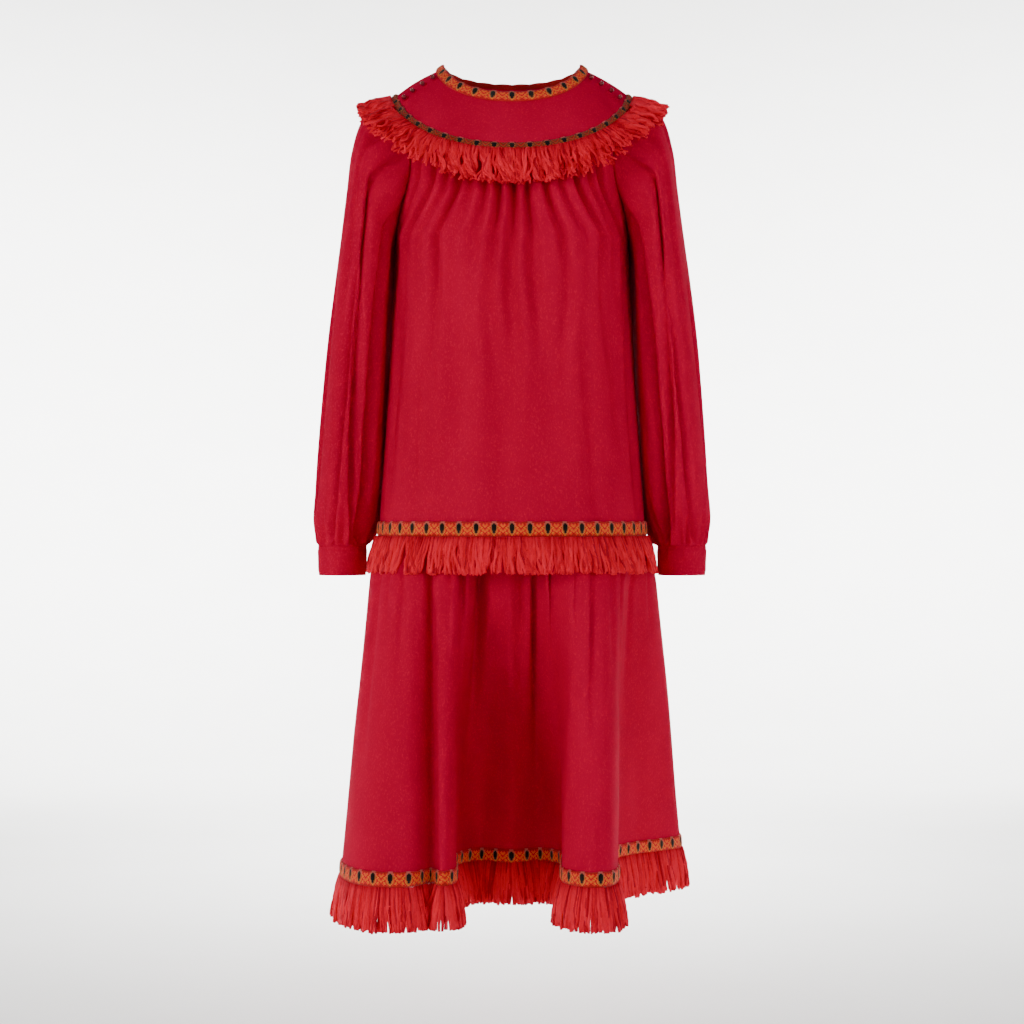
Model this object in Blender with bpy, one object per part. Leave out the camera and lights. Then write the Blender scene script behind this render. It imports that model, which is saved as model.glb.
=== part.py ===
# Tiered folk-style smock dress, filled out as if worn, with nobody in it.
# The front faces -Y, +Z is up, and +X is the wearer's left.
# The origin lies between the neck's sides, where the shoulders carry the dress.
import math

import bmesh
import bpy
import numpy as np

# Cloth, seams and trimmings, in metres
CLOTH = 0.0015
SEAM_GAP = 0.0003
BRAID_THICK = 0.0016
FRINGE_THICK = 0.0022

# Neck edge and yoke seam
NECK_HALF_WIDTH = 0.092
NECK_FRONT = 0.078
NECK_BACK = 0.065
NECK_SIDE_Z = 0.003
NECK_FRONT_Z = -0.045
NECK_BACK_Z = -0.012
SEAM_HALF_WIDTH = 0.157
SEAM_FRONT = 0.115
SEAM_BACK = 0.102
SEAM_SIDE_Z = -0.036
SEAM_FRONT_Z = -0.119
SEAM_BACK_Z = -0.121
CREST_ROUNDING = 0.12
OVAL_POWER = 0.94
YOKE_BULGE = 0.003
YOKE_LEVELS = (0.0, 0.40, 0.80, 1.0)
NECK_BRAID_RISE = 0.0065
NECK_BRAID_REACH = 0.25
YOKE_BRAID_REACH = (0.02, 0.66)
YOKE_STRIP_REACH = (0.69, 0.97)

# Armholes and the tunic
ARMHOLE_ANGLE = 55.0
SHOULDER_COLUMNS = 16
UNDERARM_Z = -0.22
ARMHOLE_LEVELS = (0.0, 0.14, 0.32, 0.52, 0.70, 0.86, 1.0)
ARMHOLE_CURVE = 2.2
TUNIC_HEM_Z = -0.606
TUNIC_BRAID_TOP_Z = -0.5844
TUNIC_LEVELS = (-0.30, -0.39, -0.48, TUNIC_BRAID_TOP_Z, TUNIC_HEM_Z)
TUNIC_HEM_HALF_WIDTH = 0.174
TUNIC_HEM_HALF_DEPTH = 0.142
GATHER_START = 0.025
GATHER_WIDTH = 0.040

# Lower tier
HEM_Z = -1.031
HEM_BRAID_TOP_Z = -1.013
SKIRT_LEVELS = (0.0, 0.025, 0.085, 0.20, 0.36, 0.56, 0.78)
FRONT_SKIRT_COLUMNS = 52
BACK_SKIRT_COLUMNS = 44
SIDE_SEAM_ROW = 24
SKIRT_GATHERS = 30
SKIRT_GATHER_DEPTH = 0.0045
SKIRT_FLARE = 0.004
SPLINE_STEPS = 24

# Sleeves and cuffs
CUFF_GATHER_DEPTH = 0.0025
CUFF_CENTRE_X = 0.2220
CUFF_CENTRE_Y = 0.020
CUFF_TOP_Z = -0.6165
CUFF_HALF_WIDTH = 0.0315
CUFF_COLUMNS = 16
CUFF_HEIGHT = 0.038
CUFF_HALF_DEPTH = 0.033
CUFF_TAPER = 0.97
SLEEVE_SPREAD_TOP = 62.0
SLEEVE_SPREAD_LOW = 112.0
SLEEVE_LAP = 0.015
SLEEVE_LAP_ANGLE = -140.0
SLEEVE_LAP_WIDTH = 26.0

# Locks of fringe, and their lengths
YOKE_LOCK_EVERY = 2
TUNIC_LOCKS = 60
HEM_LOCKS = 90
YOKE_FRINGE_LENGTH = 0.046
TUNIC_FRINGE_LENGTH = 0.046
HEM_FRINGE_LENGTH = 0.052
STRIP_HEIGHT = 0.005
LOCK_FILL = 0.34
FRINGE_STAND = 0.017
LOCK_CLEARANCE = 0.004
LOCK_REACH = 0.011
FRINGE_STAND_AT_CUFF = 0.008
FRINGE_OFFSET = 0.0016
HEM_FRINGE_STAND = 0.002
RING_POINTS = 720

# Buttons, places down the shoulder from the neck to the yoke seam
BUTTON_PLACES = (0.18, 0.38, 0.58, 0.76)
BUTTON_ANGLE = 74.0
BUTTON_SIDES = 8
BUTTON_PROFILE = (
    # radius, height above the cloth
    (0.0014, 0.0005), (0.0030, 0.0024), (0.0030, 0.0042), (0.0014, 0.0062),
)

# The tunic's plan at each height
TUNIC_SECTIONS = (
    # z, half width, front, back
    (-0.09, 0.145, 0.114, 0.101),
    (-0.12, 0.147, 0.117, 0.103),
    (-0.20, 0.150, 0.129, 0.113),
    (-0.27, 0.153, 0.137, 0.118),
    (-0.40, 0.160, 0.138, 0.122),
    (-0.50, 0.167, 0.141, 0.128),
    (-0.61, 0.174, 0.146, 0.134),
)

# Gathers under the yoke seam: place from -1 to 1 across the panel
FRONT_GATHERS = (
    # place, depth in mm, reach in m
    (-0.896, 5.0, 0.20), (-0.72, 6.0, 0.30), (-0.573, 5.0, 0.17), (-0.437, 7.0, 0.34),
    (-0.313, 5.0, 0.14), (-0.20, 6.0, 0.22), (-0.10, 7.0, 0.34), (0.0, 8.0, 0.40),
    (0.107, 7.0, 0.26), (0.275, 6.0, 0.38), (0.409, 5.0, 0.17), (0.549, 7.0, 0.28),
    (0.68, 5.0, 0.20), (0.81, 6.0, 0.32),
)
BACK_GATHERS = (
    # place, depth in mm, reach in m
    (-0.86, 5.0, 0.28), (-0.68, 6.0, 0.20), (-0.52, 5.0, 0.32), (-0.36, 7.0, 0.22),
    (-0.22, 5.0, 0.36), (-0.07, 7.0, 0.28), (0.08, 6.0, 0.40), (0.23, 6.0, 0.20),
    (0.38, 7.0, 0.30), (0.53, 5.0, 0.22), (0.69, 7.0, 0.34), (0.86, 5.0, 0.20),
)

# Sleeve rings: the outer and the inner point of each, and the half depth front to back
SLEEVE_SECTIONS = (
    # outer x, outer z, inner x, inner z, half depth, centre y
    (0.190, -0.060, 0.1590, -0.234, 0.078, 0.000),
    (0.206, -0.102, 0.1622, -0.254, 0.079, 0.000),
    (0.2135, -0.155, 0.1632, -0.280, 0.077, 0.001),
    (0.2215, -0.210, 0.1640, -0.305, 0.075, 0.003),
    (0.2310, -0.275, 0.1648, -0.335, 0.074, 0.006),
    (0.2405, -0.350, 0.1665, -0.380, 0.073, 0.009),
    (0.2490, -0.440, 0.1700, -0.450, 0.072, 0.013),
    (0.2555, -0.525, 0.1738, -0.528, 0.070, 0.017),
    (0.2585, -0.575, 0.1785, -0.575, 0.062, 0.019),
    (0.2555, -0.600, 0.1865, -0.600, 0.045, 0.020),
)

# Long folds of a sleeve: 180 faces the body, -90 faces front
SLEEVE_FOLDS = (
    # angle, depth in mm, width in degrees, start and end as shares of the length
    (-72.0, 5.0, 13.0, 0.30, 1.10),
    (-103.0, 6.0, 14.0, 0.05, 0.95),
    (-140.0, 7.0, 15.0, 0.10, 1.05),
    (-30.0, 4.0, 14.0, 0.40, 1.10),
    (12.0, 3.5, 14.0, 0.10, 0.70),
    (50.0, 5.0, 15.0, 0.35, 1.10),
    (92.0, 6.0, 15.0, 0.05, 0.85),
    (136.0, 6.0, 15.0, 0.15, 1.05),
)

# Folds of the lower tier, round from the right side seam over the front and back again
SKIRT_FOLDS = (
    # seam angle, hem x, hem y
    (-90, -0.212, -0.035), (-80, -0.216, -0.075), (-70, -0.207, -0.130), (-60, -0.185, -0.172),
    (-50, -0.155, -0.192), (-42, -0.122, -0.188), (-35, -0.101, -0.158), (-28, -0.085, -0.180),
    (-22, -0.071, -0.155), (-17, -0.066, -0.090), (-12, -0.060, -0.010), (-6, -0.036, 0.040),
    (0, -0.002, 0.020), (8, 0.032, 0.041), (14, 0.056, 0.000), (19, 0.060, -0.080),
    (24, 0.068, -0.155), (32, 0.092, -0.190), (41, 0.122, -0.182), (48, 0.137, -0.135),
    (54, 0.138, -0.050), (60, 0.146, 0.040), (68, 0.166, 0.095), (78, 0.198, 0.130),
    (90, 0.226, 0.160), (102, 0.228, 0.195), (114, 0.200, 0.222), (126, 0.160, 0.215),
    (136, 0.128, 0.165), (144, 0.105, 0.125), (152, 0.085, 0.160), (162, 0.055, 0.215),
    (172, 0.018, 0.228), (182, -0.015, 0.200), (190, -0.030, 0.140), (198, -0.048, 0.120),
    (206, -0.066, 0.155), (216, -0.095, 0.212), (226, -0.130, 0.222), (236, -0.160, 0.190),
    (244, -0.165, 0.130), (252, -0.168, 0.085), (260, -0.190, 0.060), (266, -0.207, 0.018),
)

# Finishes: colour, roughness
CRIMSON_CLOTH = ("crimson_cloth", (0.45, 0.004, 0.022, 1.0), 0.85)
PATTERNED_BRAID = ("patterned_braid", (0.40, 0.09, 0.03, 1.0), 0.80)
CORAL_FRINGE = ("coral_fringe", (0.60, 0.03, 0.035, 1.0), 0.75)
RED_BUTTON = ("red_button", (0.20, 0.003, 0.008, 1.0), 0.25)


def clear_scene():
    """Remove the objects that the scene starts with."""
    for item in list(bpy.data.objects):
        bpy.data.objects.remove(item, do_unlink=True)


def unit(vectors):
    """Scale each vector to length one."""
    return vectors / np.maximum(np.linalg.norm(vectors, axis=-1, keepdims=True), 1e-9)


def smooth_step(value):
    """Ease from 0 to 1."""
    t = np.clip(value, 0.0, 1.0)
    return t * t * (3.0 - 2.0 * t)


def oval(angle, half_width, front, back):
    """Plan point of an oval, at an angle in degrees from the front towards +X."""
    turn = np.radians(angle)
    side = np.sin(turn)
    ahead = np.cos(turn)
    depth = np.where(ahead > 0.0, front, back)
    x = half_width * np.sign(side) * np.abs(side) ** OVAL_POWER
    y = -depth * np.sign(ahead) * np.abs(ahead) ** OVAL_POWER
    return x, y


def dip(angle):
    """Share of the fall from the shoulder to the front or back, rounded at the crest."""
    ahead = np.cos(np.radians(angle))
    deepest = math.hypot(1.0, CREST_ROUNDING) - CREST_ROUNDING
    return (np.sqrt(ahead ** 2 + CREST_ROUNDING ** 2) - CREST_ROUNDING) / deepest


def neck_ring(angle):
    """Points of the neck's edge."""
    x, y = oval(angle, NECK_HALF_WIDTH, NECK_FRONT, NECK_BACK)
    low = np.where(np.cos(np.radians(angle)) > 0.0, NECK_FRONT_Z, NECK_BACK_Z)
    return np.stack([x, y, NECK_SIDE_Z + (low - NECK_SIDE_Z) * dip(angle)], axis=-1)


def seam_ring(angle):
    """Points of the seam between the yoke and what is gathered into it."""
    x, y = oval(angle, SEAM_HALF_WIDTH, SEAM_FRONT, SEAM_BACK)
    low = np.where(np.cos(np.radians(angle)) > 0.0, SEAM_FRONT_Z, SEAM_BACK_Z)
    return np.stack([x, y, SEAM_SIDE_Z + (low - SEAM_SIDE_Z) * dip(angle)], axis=-1)


def seam_normal(angle):
    """Outward direction shared by the pieces that meet at the yoke seam."""
    turn = np.radians(angle)
    tilt = np.radians(20.0 + 33.0 * np.sin(turn) ** 2)
    return np.stack([np.sin(turn) * np.cos(tilt), -np.cos(turn) * np.cos(tilt), np.sin(tilt)], axis=-1)


def yoke_point(angle, level):
    """Point of the yoke, from 0 at the neck to 1 at its seam."""
    top = neck_ring(angle)
    low = seam_ring(angle)
    swell = YOKE_BULGE * 4.0 * level * (1.0 - level)
    return top + (low - top) * level + seam_normal(angle) * swell


def tunic_oval(angle, z):
    """Plan point of the tunic at a height."""
    table = np.array(TUNIC_SECTIONS)[::-1]
    half_width = np.interp(z, table[:, 0], table[:, 1])
    front = np.interp(z, table[:, 0], table[:, 2])
    back = np.interp(z, table[:, 0], table[:, 3])
    return oval(angle, half_width, front, back)


def gather_depth(place, fall, gathers):
    """How far the gathers draw the cloth in, at a place across and a fall below the seam."""
    drawn = np.zeros(np.broadcast(place, fall).shape)
    for middle, depth, reach in gathers:
        shape = np.exp(-((place - middle) / GATHER_WIDTH) ** 2)
        fade = smooth_step(fall / GATHER_START) * (1.0 - smooth_step(fall / reach))
        drawn = drawn + 0.001 * depth * shape * fade
    return drawn


def tunic_rows():
    """Rows of a tunic panel: the share of the armhole passed, and the height below it."""
    rows = [(level, None) for level in ARMHOLE_LEVELS]
    rows.extend((1.0, z) for z in TUNIC_LEVELS)
    return rows


def tunic_panel(places, middle, gathers):
    """Outer points of a tunic panel, whose middle lies at an angle from the front."""
    grid = []
    for level, z_below in tunic_rows():
        spread = ARMHOLE_ANGLE + (90.0 - ARMHOLE_ANGLE) * level ** ARMHOLE_CURVE
        top_angle = middle + places * ARMHOLE_ANGLE
        angle = middle + places * spread
        top = seam_ring(top_angle)
        z = top[:, 2] + (UNDERARM_Z - top[:, 2]) * level
        if z_below is not None:
            z = np.full(len(places), z_below)
        x, y = tunic_oval(angle, z)
        share = smooth_step(1.4 * level)
        x = top[:, 0] + (x - top[:, 0]) * share
        y = top[:, 1] + (y - top[:, 1]) * share
        turn = np.radians(angle)
        drawn = gather_depth(places, top[:, 2] - z, gathers)
        x = x - np.sin(turn) * drawn
        y = y + np.cos(turn) * drawn
        grid.append(np.stack([x, y, z], axis=-1))
    return np.array(grid)


def grid_normals(points, closed):
    """Outward normals of a grid of rows from the top and columns towards +X at the front."""
    down = np.gradient(points, axis=0)
    if closed:
        across = np.roll(points, -1, axis=1) - np.roll(points, 1, axis=1)
    else:
        across = np.gradient(points, axis=1)
    return unit(np.cross(down, across))


def pull_back(points, top=0.0, bottom=0.0, sides=0.0):
    """Draw a grid's edges back from its seams."""
    moved = points.copy()
    if top:
        moved[0] += unit(points[1] - points[0]) * top
    if bottom:
        moved[-1] += unit(points[-2] - points[-1]) * bottom
    if sides:
        moved[:, 0] += unit(points[:, 1] - points[:, 0]) * sides
        moved[:, -1] += unit(points[:, -2] - points[:, -1]) * sides
    return moved


def finish_material(finish):
    """One plain finish for a piece."""
    name, colour, roughness = finish
    material = bpy.data.materials.new(name)
    material.use_nodes = True
    shader = material.node_tree.nodes["Principled BSDF"]
    shader.inputs["Base Color"].default_value = colour
    shader.inputs["Roughness"].default_value = roughness
    shader.inputs["Metallic"].default_value = 0.0
    return material


def make_object(name, vertices, faces, finish):
    """One closed solid, its faces turned outward."""
    mesh = bpy.data.meshes.new(name)
    mesh.from_pydata([tuple(map(float, v)) for v in vertices], [], faces)
    shape = bmesh.new()
    shape.from_mesh(mesh)
    bmesh.ops.triangulate(shape, faces=shape.faces[:])
    bmesh.ops.recalc_face_normals(shape, faces=shape.faces[:])
    shape.to_mesh(mesh)
    shape.free()
    mesh.shade_smooth()
    mesh.set_sharp_from_angle(angle=math.radians(50.0))
    mesh.materials.append(finish_material(finish))
    item = bpy.data.objects.new(name, mesh)
    bpy.context.scene.collection.objects.link(item)
    return item


def wall(name, outer, inner, closed, finish):
    """A cloth wall between an outer and an inner grid of points."""
    rows, columns = outer.shape[:2]
    vertices = np.concatenate([outer.reshape(-1, 3), inner.reshape(-1, 3)])
    inside = rows * columns
    faces = []
    steps = columns if closed else columns - 1
    for row in range(rows - 1):
        for column in range(steps):
            a = row * columns + column
            b = row * columns + (column + 1) % columns
            c = b + columns
            d = a + columns
            faces.append((a, b, c, d))
            faces.append((inside + d, inside + c, inside + b, inside + a))
    for column in range(steps):
        a = column
        b = (column + 1) % columns
        faces.append((b, a, inside + a, inside + b))
        c = (rows - 1) * columns + a
        d = (rows - 1) * columns + b
        faces.append((c, d, inside + d, inside + c))
    if not closed:
        for row in range(rows - 1):
            a = row * columns
            b = a + columns
            faces.append((a, b, inside + b, inside + a))
            c = a + columns - 1
            d = c + columns
            faces.append((d, c, inside + c, inside + d))
    return make_object(name, vertices, faces, finish)


def gather_places(gathers):
    """Columns at each gather's valley, at the ridge between two, and at the edges."""
    valleys = [row[0] for row in gathers]
    ridges = [(a + b) / 2.0 for a, b in zip(valleys, valleys[1:])]
    return np.array(sorted(valleys + ridges + [-1.0, 1.0]))


def make_yoke(front_angles, back_angles, shoulder_angles):
    """Two half rings that meet at the shoulders, and the angles of all their columns."""
    crest = len(shoulder_angles) // 2
    front = np.concatenate([
        -shoulder_angles[1:crest + 1][::-1], front_angles, shoulder_angles[1:crest + 1]])
    back = np.concatenate([
        shoulder_angles[crest:-1], back_angles, 360.0 - shoulder_angles[crest:-1][::-1]])
    for name, angles in (("yoke_front", front), ("yoke_back", back)):
        outer = np.array([yoke_point(angles, level) for level in YOKE_LEVELS])
        normals = np.array([seam_normal(angles) for level in YOKE_LEVELS])
        inner = outer - normals * CLOTH
        half = SEAM_GAP / 2.0
        wall(name, pull_back(outer, 0.0, half, half), pull_back(inner, 0.0, half, half), False,
             CRIMSON_CLOTH)
    return np.concatenate([front[:-1], back[:-1]])


def tunic_normals(outer, places, middle):
    """Normals of a tunic panel, made the same as its neighbours' where they meet."""
    normals = grid_normals(outer, False)
    normals[0] = seam_normal(middle + places * ARMHOLE_ANGLE)
    first_side_row = len(ARMHOLE_LEVELS)
    for column in (0, -1):
        turn = math.radians(middle + places[column] * 90.0)
        normals[first_side_row - 1:, column] = (math.sin(turn), -math.cos(turn), 0.0)
    return normals


def make_tunic(front_places, back_places):
    """The front and the back, gathered into the yoke."""
    panels = (
        ("body_front", front_places, 0.0, FRONT_GATHERS),
        ("body_back", back_places, 180.0, BACK_GATHERS),
    )
    points = []
    for name, places, middle, gathers in panels:
        outer = tunic_panel(places, middle, gathers)
        inner = outer - tunic_normals(outer, places, middle) * CLOTH
        half = SEAM_GAP / 2.0
        wall(name, pull_back(outer, half, 0.0, half), pull_back(inner, half, 0.0, half), False,
             CRIMSON_CLOTH)
        points.append(outer.reshape(-1, 3))
    return points


def armhole_curve(side):
    """The armhole from the front of the shoulder, over it, down the back and up the front."""
    shoulder = np.linspace(ARMHOLE_ANGLE, 180.0 - ARMHOLE_ANGLE, SHOULDER_COLUMNS + 1)
    over = seam_ring(side * shoulder)
    front = tunic_panel(np.array([-1.0, 1.0]), 0.0, ())
    back = tunic_panel(np.array([-1.0, 1.0]), 180.0, ())
    last = len(ARMHOLE_LEVELS)
    front_edge = front[:last, 1 if side > 0 else 0]
    back_edge = back[:last, 0 if side > 0 else 1]
    curve = np.concatenate([over, back_edge[1:], front_edge[1:-1][::-1]])
    return curve, side * shoulder


def sleeve_angles(share):
    """Angles round a sleeve's ring, spread more evenly further down the arm."""
    half_span = SLEEVE_SPREAD_TOP + (SLEEVE_SPREAD_LOW - SLEEVE_SPREAD_TOP) * share
    over = np.linspace(-half_span, half_span, SHOULDER_COLUMNS + 1)
    steps = 2 * (len(ARMHOLE_LEVELS) - 1)
    under = np.linspace(half_span, 360.0 - half_span, steps + 1)
    return np.concatenate([over, under[1:-1]])


def sleeve_fold_depth(angle, share):
    """How far the long folds draw the sleeve in."""
    drawn = np.zeros(len(angle))
    for middle, depth, width, start, end in SLEEVE_FOLDS:
        away = (angle - middle + 180.0) % 360.0 - 180.0
        fade = smooth_step((share - start) / 0.18) * (1.0 - smooth_step((share - end + 0.25) / 0.25))
        drawn = drawn + 0.001 * depth * fade * np.exp(-(away / width) ** 2)
    return drawn


def sleeve_lap(angle, share):
    """How far a sleeve's inner front leans over the side of the body."""
    away = (angle - SLEEVE_LAP_ANGLE + 180.0) % 360.0 - 180.0
    along = smooth_step((share - 0.12) / 0.3) * (1.0 - smooth_step((share - 0.70) / 0.22))
    return SLEEVE_LAP * along * np.exp(-(away / SLEEVE_LAP_WIDTH) ** 2)


def sleeve_rings(side):
    """Outer rings of a sleeve below the armhole, down to the cuff."""
    sections = list(SLEEVE_SECTIONS)
    cuff_outer = CUFF_CENTRE_X + CUFF_HALF_WIDTH
    cuff_inner = CUFF_CENTRE_X - CUFF_HALF_WIDTH
    sections.append((cuff_outer, CUFF_TOP_Z, cuff_inner, CUFF_TOP_Z, CUFF_HALF_DEPTH, CUFF_CENTRE_Y))
    rings = []
    for number, (out_x, out_z, in_x, in_z, half_depth, centre_y) in enumerate(sections):
        share = (number + 1) / len(sections)
        angle = sleeve_angles(min(1.0, 1.5 * share))
        turn = np.radians(angle)
        centre = np.array([(out_x + in_x) / 2.0, centre_y, (out_z + in_z) / 2.0])
        to_outer = np.array([(out_x - in_x) / 2.0, 0.0, (out_z - in_z) / 2.0])
        to_back = np.array([0.0, half_depth, 0.0])
        arm = np.outer(np.cos(turn), to_outer) + np.outer(np.sin(turn), to_back)
        drawn = sleeve_fold_depth(angle, share)
        near_cuff = smooth_step((share - 0.72) / 0.16) * (1.0 - smooth_step((share - 0.90) / 0.10))
        ripple = CUFF_GATHER_DEPTH * near_cuff * np.cos(np.arange(len(angle)) * math.pi)
        size = np.linalg.norm(arm, axis=1)
        ring = centre + arm * (1.0 - (drawn + ripple) / size)[:, None]
        ring[:, 0] -= sleeve_lap(angle, share)
        ring[:, 0] *= side
        rings.append(ring)
    return np.array(rings)


def make_sleeve(name, side):
    """A bishop sleeve, gathered over the shoulder and into its cuff."""
    curve, shoulder = armhole_curve(side)
    outer = np.concatenate([curve[None], sleeve_rings(side)])
    normals = grid_normals(outer, True) * side
    last_over = len(shoulder)
    normals[0, :last_over] = seam_normal(shoulder)
    inner = outer - normals * CLOTH
    half = SEAM_GAP / 2.0
    outer = pull_back(outer, half, half, 0.0)
    inner = pull_back(inner, half, half, 0.0)
    for grid in (outer, inner):
        grid[0, last_over:, 0] += side * SEAM_GAP
    if side < 0:
        outer = outer[:, ::-1]
        inner = inner[:, ::-1]
    wall(name, outer, inner, True, CRIMSON_CLOTH)
    return outer.reshape(-1, 3)


def make_cuff(name, side):
    """A narrow cuff, open below."""
    turn = np.linspace(0.0, 2.0 * math.pi, CUFF_COLUMNS, endpoint=False)
    levels = ((CUFF_TOP_Z - SEAM_GAP, 1.0), (CUFF_TOP_Z - CUFF_HEIGHT, CUFF_TAPER))
    grids = []
    for inset in (0.0, CLOTH):
        rows = []
        for z, scale in levels:
            x = side * CUFF_CENTRE_X + (CUFF_HALF_WIDTH * scale - inset) * np.sin(turn)
            y = CUFF_CENTRE_Y - (CUFF_HALF_DEPTH * scale - inset) * np.cos(turn)
            rows.append(np.stack([x, y, np.full(len(turn), z)], axis=-1))
        grids.append(np.array(rows))
    wall(name, grids[0], grids[1], True, CRIMSON_CLOTH)


def skirt_outline():
    """Seam angle and hem place along the lower tier's folds, on a smooth closed curve."""
    table = np.array(SKIRT_FOLDS, dtype=float)
    count = len(table)
    lap = np.array([360.0, 0.0, 0.0])
    curve = []
    for row in range(count):
        before = table[row - 1] - (lap if row == 0 else 0.0)
        here = table[row]
        after = table[(row + 1) % count] + (lap if row + 1 >= count else 0.0)
        beyond = table[(row + 2) % count] + (lap if row + 2 >= count else 0.0)
        for step in range(SPLINE_STEPS):
            t = step / SPLINE_STEPS
            bend = 2.0 * before - 5.0 * here + 4.0 * after - beyond
            turn = -before + 3.0 * here - 3.0 * after + beyond
            curve.append(here + 0.5 * ((after - before) * t + bend * t ** 2 + turn * t ** 3))
    return np.array(curve)


def even_columns(curve, start, end, count):
    """Places along a stretch of the curve, an equal length of hem apart."""
    stretch = curve[start:end + 1]
    lengths = np.linalg.norm(np.diff(stretch[:, 1:], axis=0), axis=1)
    lengths = lengths + 0.3 * np.radians(np.abs(np.diff(stretch[:, 0]))) * SEAM_HALF_WIDTH
    walked = np.concatenate([[0.0], np.cumsum(lengths)])
    marks = np.linspace(0.0, walked[-1], count + 1)
    return np.stack([np.interp(marks, walked, stretch[:, i]) for i in range(3)], axis=-1)


def skirt_columns():
    """Columns of the lower tier's front, then of its back, closing the ring."""
    curve = skirt_outline()
    closing = curve[:1] + np.array([360.0, 0.0, 0.0])
    curve = np.concatenate([curve, closing])
    split = SIDE_SEAM_ROW * SPLINE_STEPS
    front = even_columns(curve, 0, split, FRONT_SKIRT_COLUMNS)
    back = even_columns(curve, split, len(curve) - 1, BACK_SKIRT_COLUMNS)
    return np.concatenate([front[:-1], back[:-1]])


def skirt_level_z(level):
    """Height of a level of the lower tier."""
    return TUNIC_HEM_Z - SEAM_GAP + (HEM_Z - TUNIC_HEM_Z + SEAM_GAP) * level


def skirt_row(columns, level):
    """Outer points of the lower tier, from 0 at its seam to 1 at its hem."""
    angle = columns[:, 0]
    x, y = tunic_oval(angle, np.full(len(angle), TUNIC_HEM_Z))
    share = smooth_step(level / 0.05) * level
    turn = np.radians(angle)
    ripple = np.sin(turn * SKIRT_GATHERS + 2.0 * np.sin(3.0 * turn)) * (0.2 + 0.8 * np.cos(turn) ** 2)
    fade = smooth_step((level - 0.025) / 0.05) * (1.0 - smooth_step((level - 0.12) / 0.35))
    out = SKIRT_FLARE * smooth_step(level / 0.09) * (1.0 - level) + SKIRT_GATHER_DEPTH * fade * ripple
    x = x + (columns[:, 1] - x) * share + np.sin(turn) * out
    y = y + (columns[:, 2] - y) * share - np.cos(turn) * out
    z = np.full(len(angle), skirt_level_z(level))
    return np.stack([x, y, z], axis=-1)


def braid_level():
    """Level of the lower tier where the hem's braid begins."""
    return (HEM_BRAID_TOP_Z - skirt_level_z(0.0)) / (HEM_Z - skirt_level_z(0.0))


def skirt_normals(outer):
    """Outward normals of the lower tier, level along its seam and its hem."""
    normals = grid_normals(outer, True)
    for row in (0, -1):
        normals[row, :, 2] = 0.0
        normals[row] = unit(normals[row])
    return normals


def make_skirt(columns):
    """Front and back widths of the lower tier."""
    levels = SKIRT_LEVELS + (braid_level(), 1.0)
    outer = np.array([skirt_row(columns, level) for level in levels])
    inner = outer - skirt_normals(outer) * CLOTH
    half = SEAM_GAP / 2.0
    count = len(columns)
    spans = (
        ("skirt_front", list(range(FRONT_SKIRT_COLUMNS + 1))),
        ("skirt_back", [i % count for i in range(FRONT_SKIRT_COLUMNS, count + 1)]),
    )
    for name, span in spans:
        front = pull_back(outer[:, span], 0.0, 0.0, half)
        back = pull_back(inner[:, span], 0.0, 0.0, half)
        wall(name, front, back, False, CRIMSON_CLOTH)
    return outer


def make_braid(name, outer_rows, normals):
    """A flat braid that lies on a panel's own points, moved out."""
    inner = outer_rows + normals * SEAM_GAP
    outer = outer_rows + normals * (SEAM_GAP + BRAID_THICK)
    wall(name, outer, inner, True, PATTERNED_BRAID)


def make_yoke_braids(angles):
    """The neck's braid, which stands a little above its edge, and the yoke seam's braid."""
    normals = seam_normal(angles)
    first = yoke_point(angles, YOKE_LEVELS[0])
    second = yoke_point(angles, YOKE_LEVELS[1])
    low = first + (second - first) * NECK_BRAID_REACH
    rise = unit(neck_ring(angles) - seam_ring(angles)) + np.array([0.0, 0.0, 0.7])
    high = neck_ring(angles) + unit(rise) * NECK_BRAID_RISE
    make_braid("neck_braid", np.array([high, low]), np.array([normals, normals]))
    upper = yoke_point(angles, YOKE_LEVELS[2])
    lower = yoke_point(angles, YOKE_LEVELS[3])
    high, low = (upper + (lower - upper) * reach for reach in YOKE_BRAID_REACH)
    make_braid("yoke_braid", np.array([high, low]), np.array([normals, normals]))


def make_tunic_braid(angles):
    """The braid on the tunic's lower edge."""
    rows = []
    for z in (TUNIC_BRAID_TOP_Z, TUNIC_HEM_Z + STRIP_HEIGHT + SEAM_GAP):
        x, y = tunic_oval(angles, np.full(len(angles), z))
        rows.append(np.stack([x, y, np.full(len(angles), z)], axis=-1))
    turn = np.radians(angles)
    normals = np.stack([np.sin(turn), -np.cos(turn), np.zeros(len(angles))], axis=-1)
    make_braid("tunic_braid", np.array(rows), np.array([normals, normals]))


def resample_ring(points, count):
    """Points at equal distances round a closed line."""
    closed = np.concatenate([points, points[:1]])
    walked = np.concatenate([[0.0], np.cumsum(np.linalg.norm(np.diff(closed, axis=0), axis=1))])
    marks = np.linspace(0.0, walked[-1], count, endpoint=False)
    return np.stack([np.interp(marks, walked, closed[:, i]) for i in range(3)], axis=-1)


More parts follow.
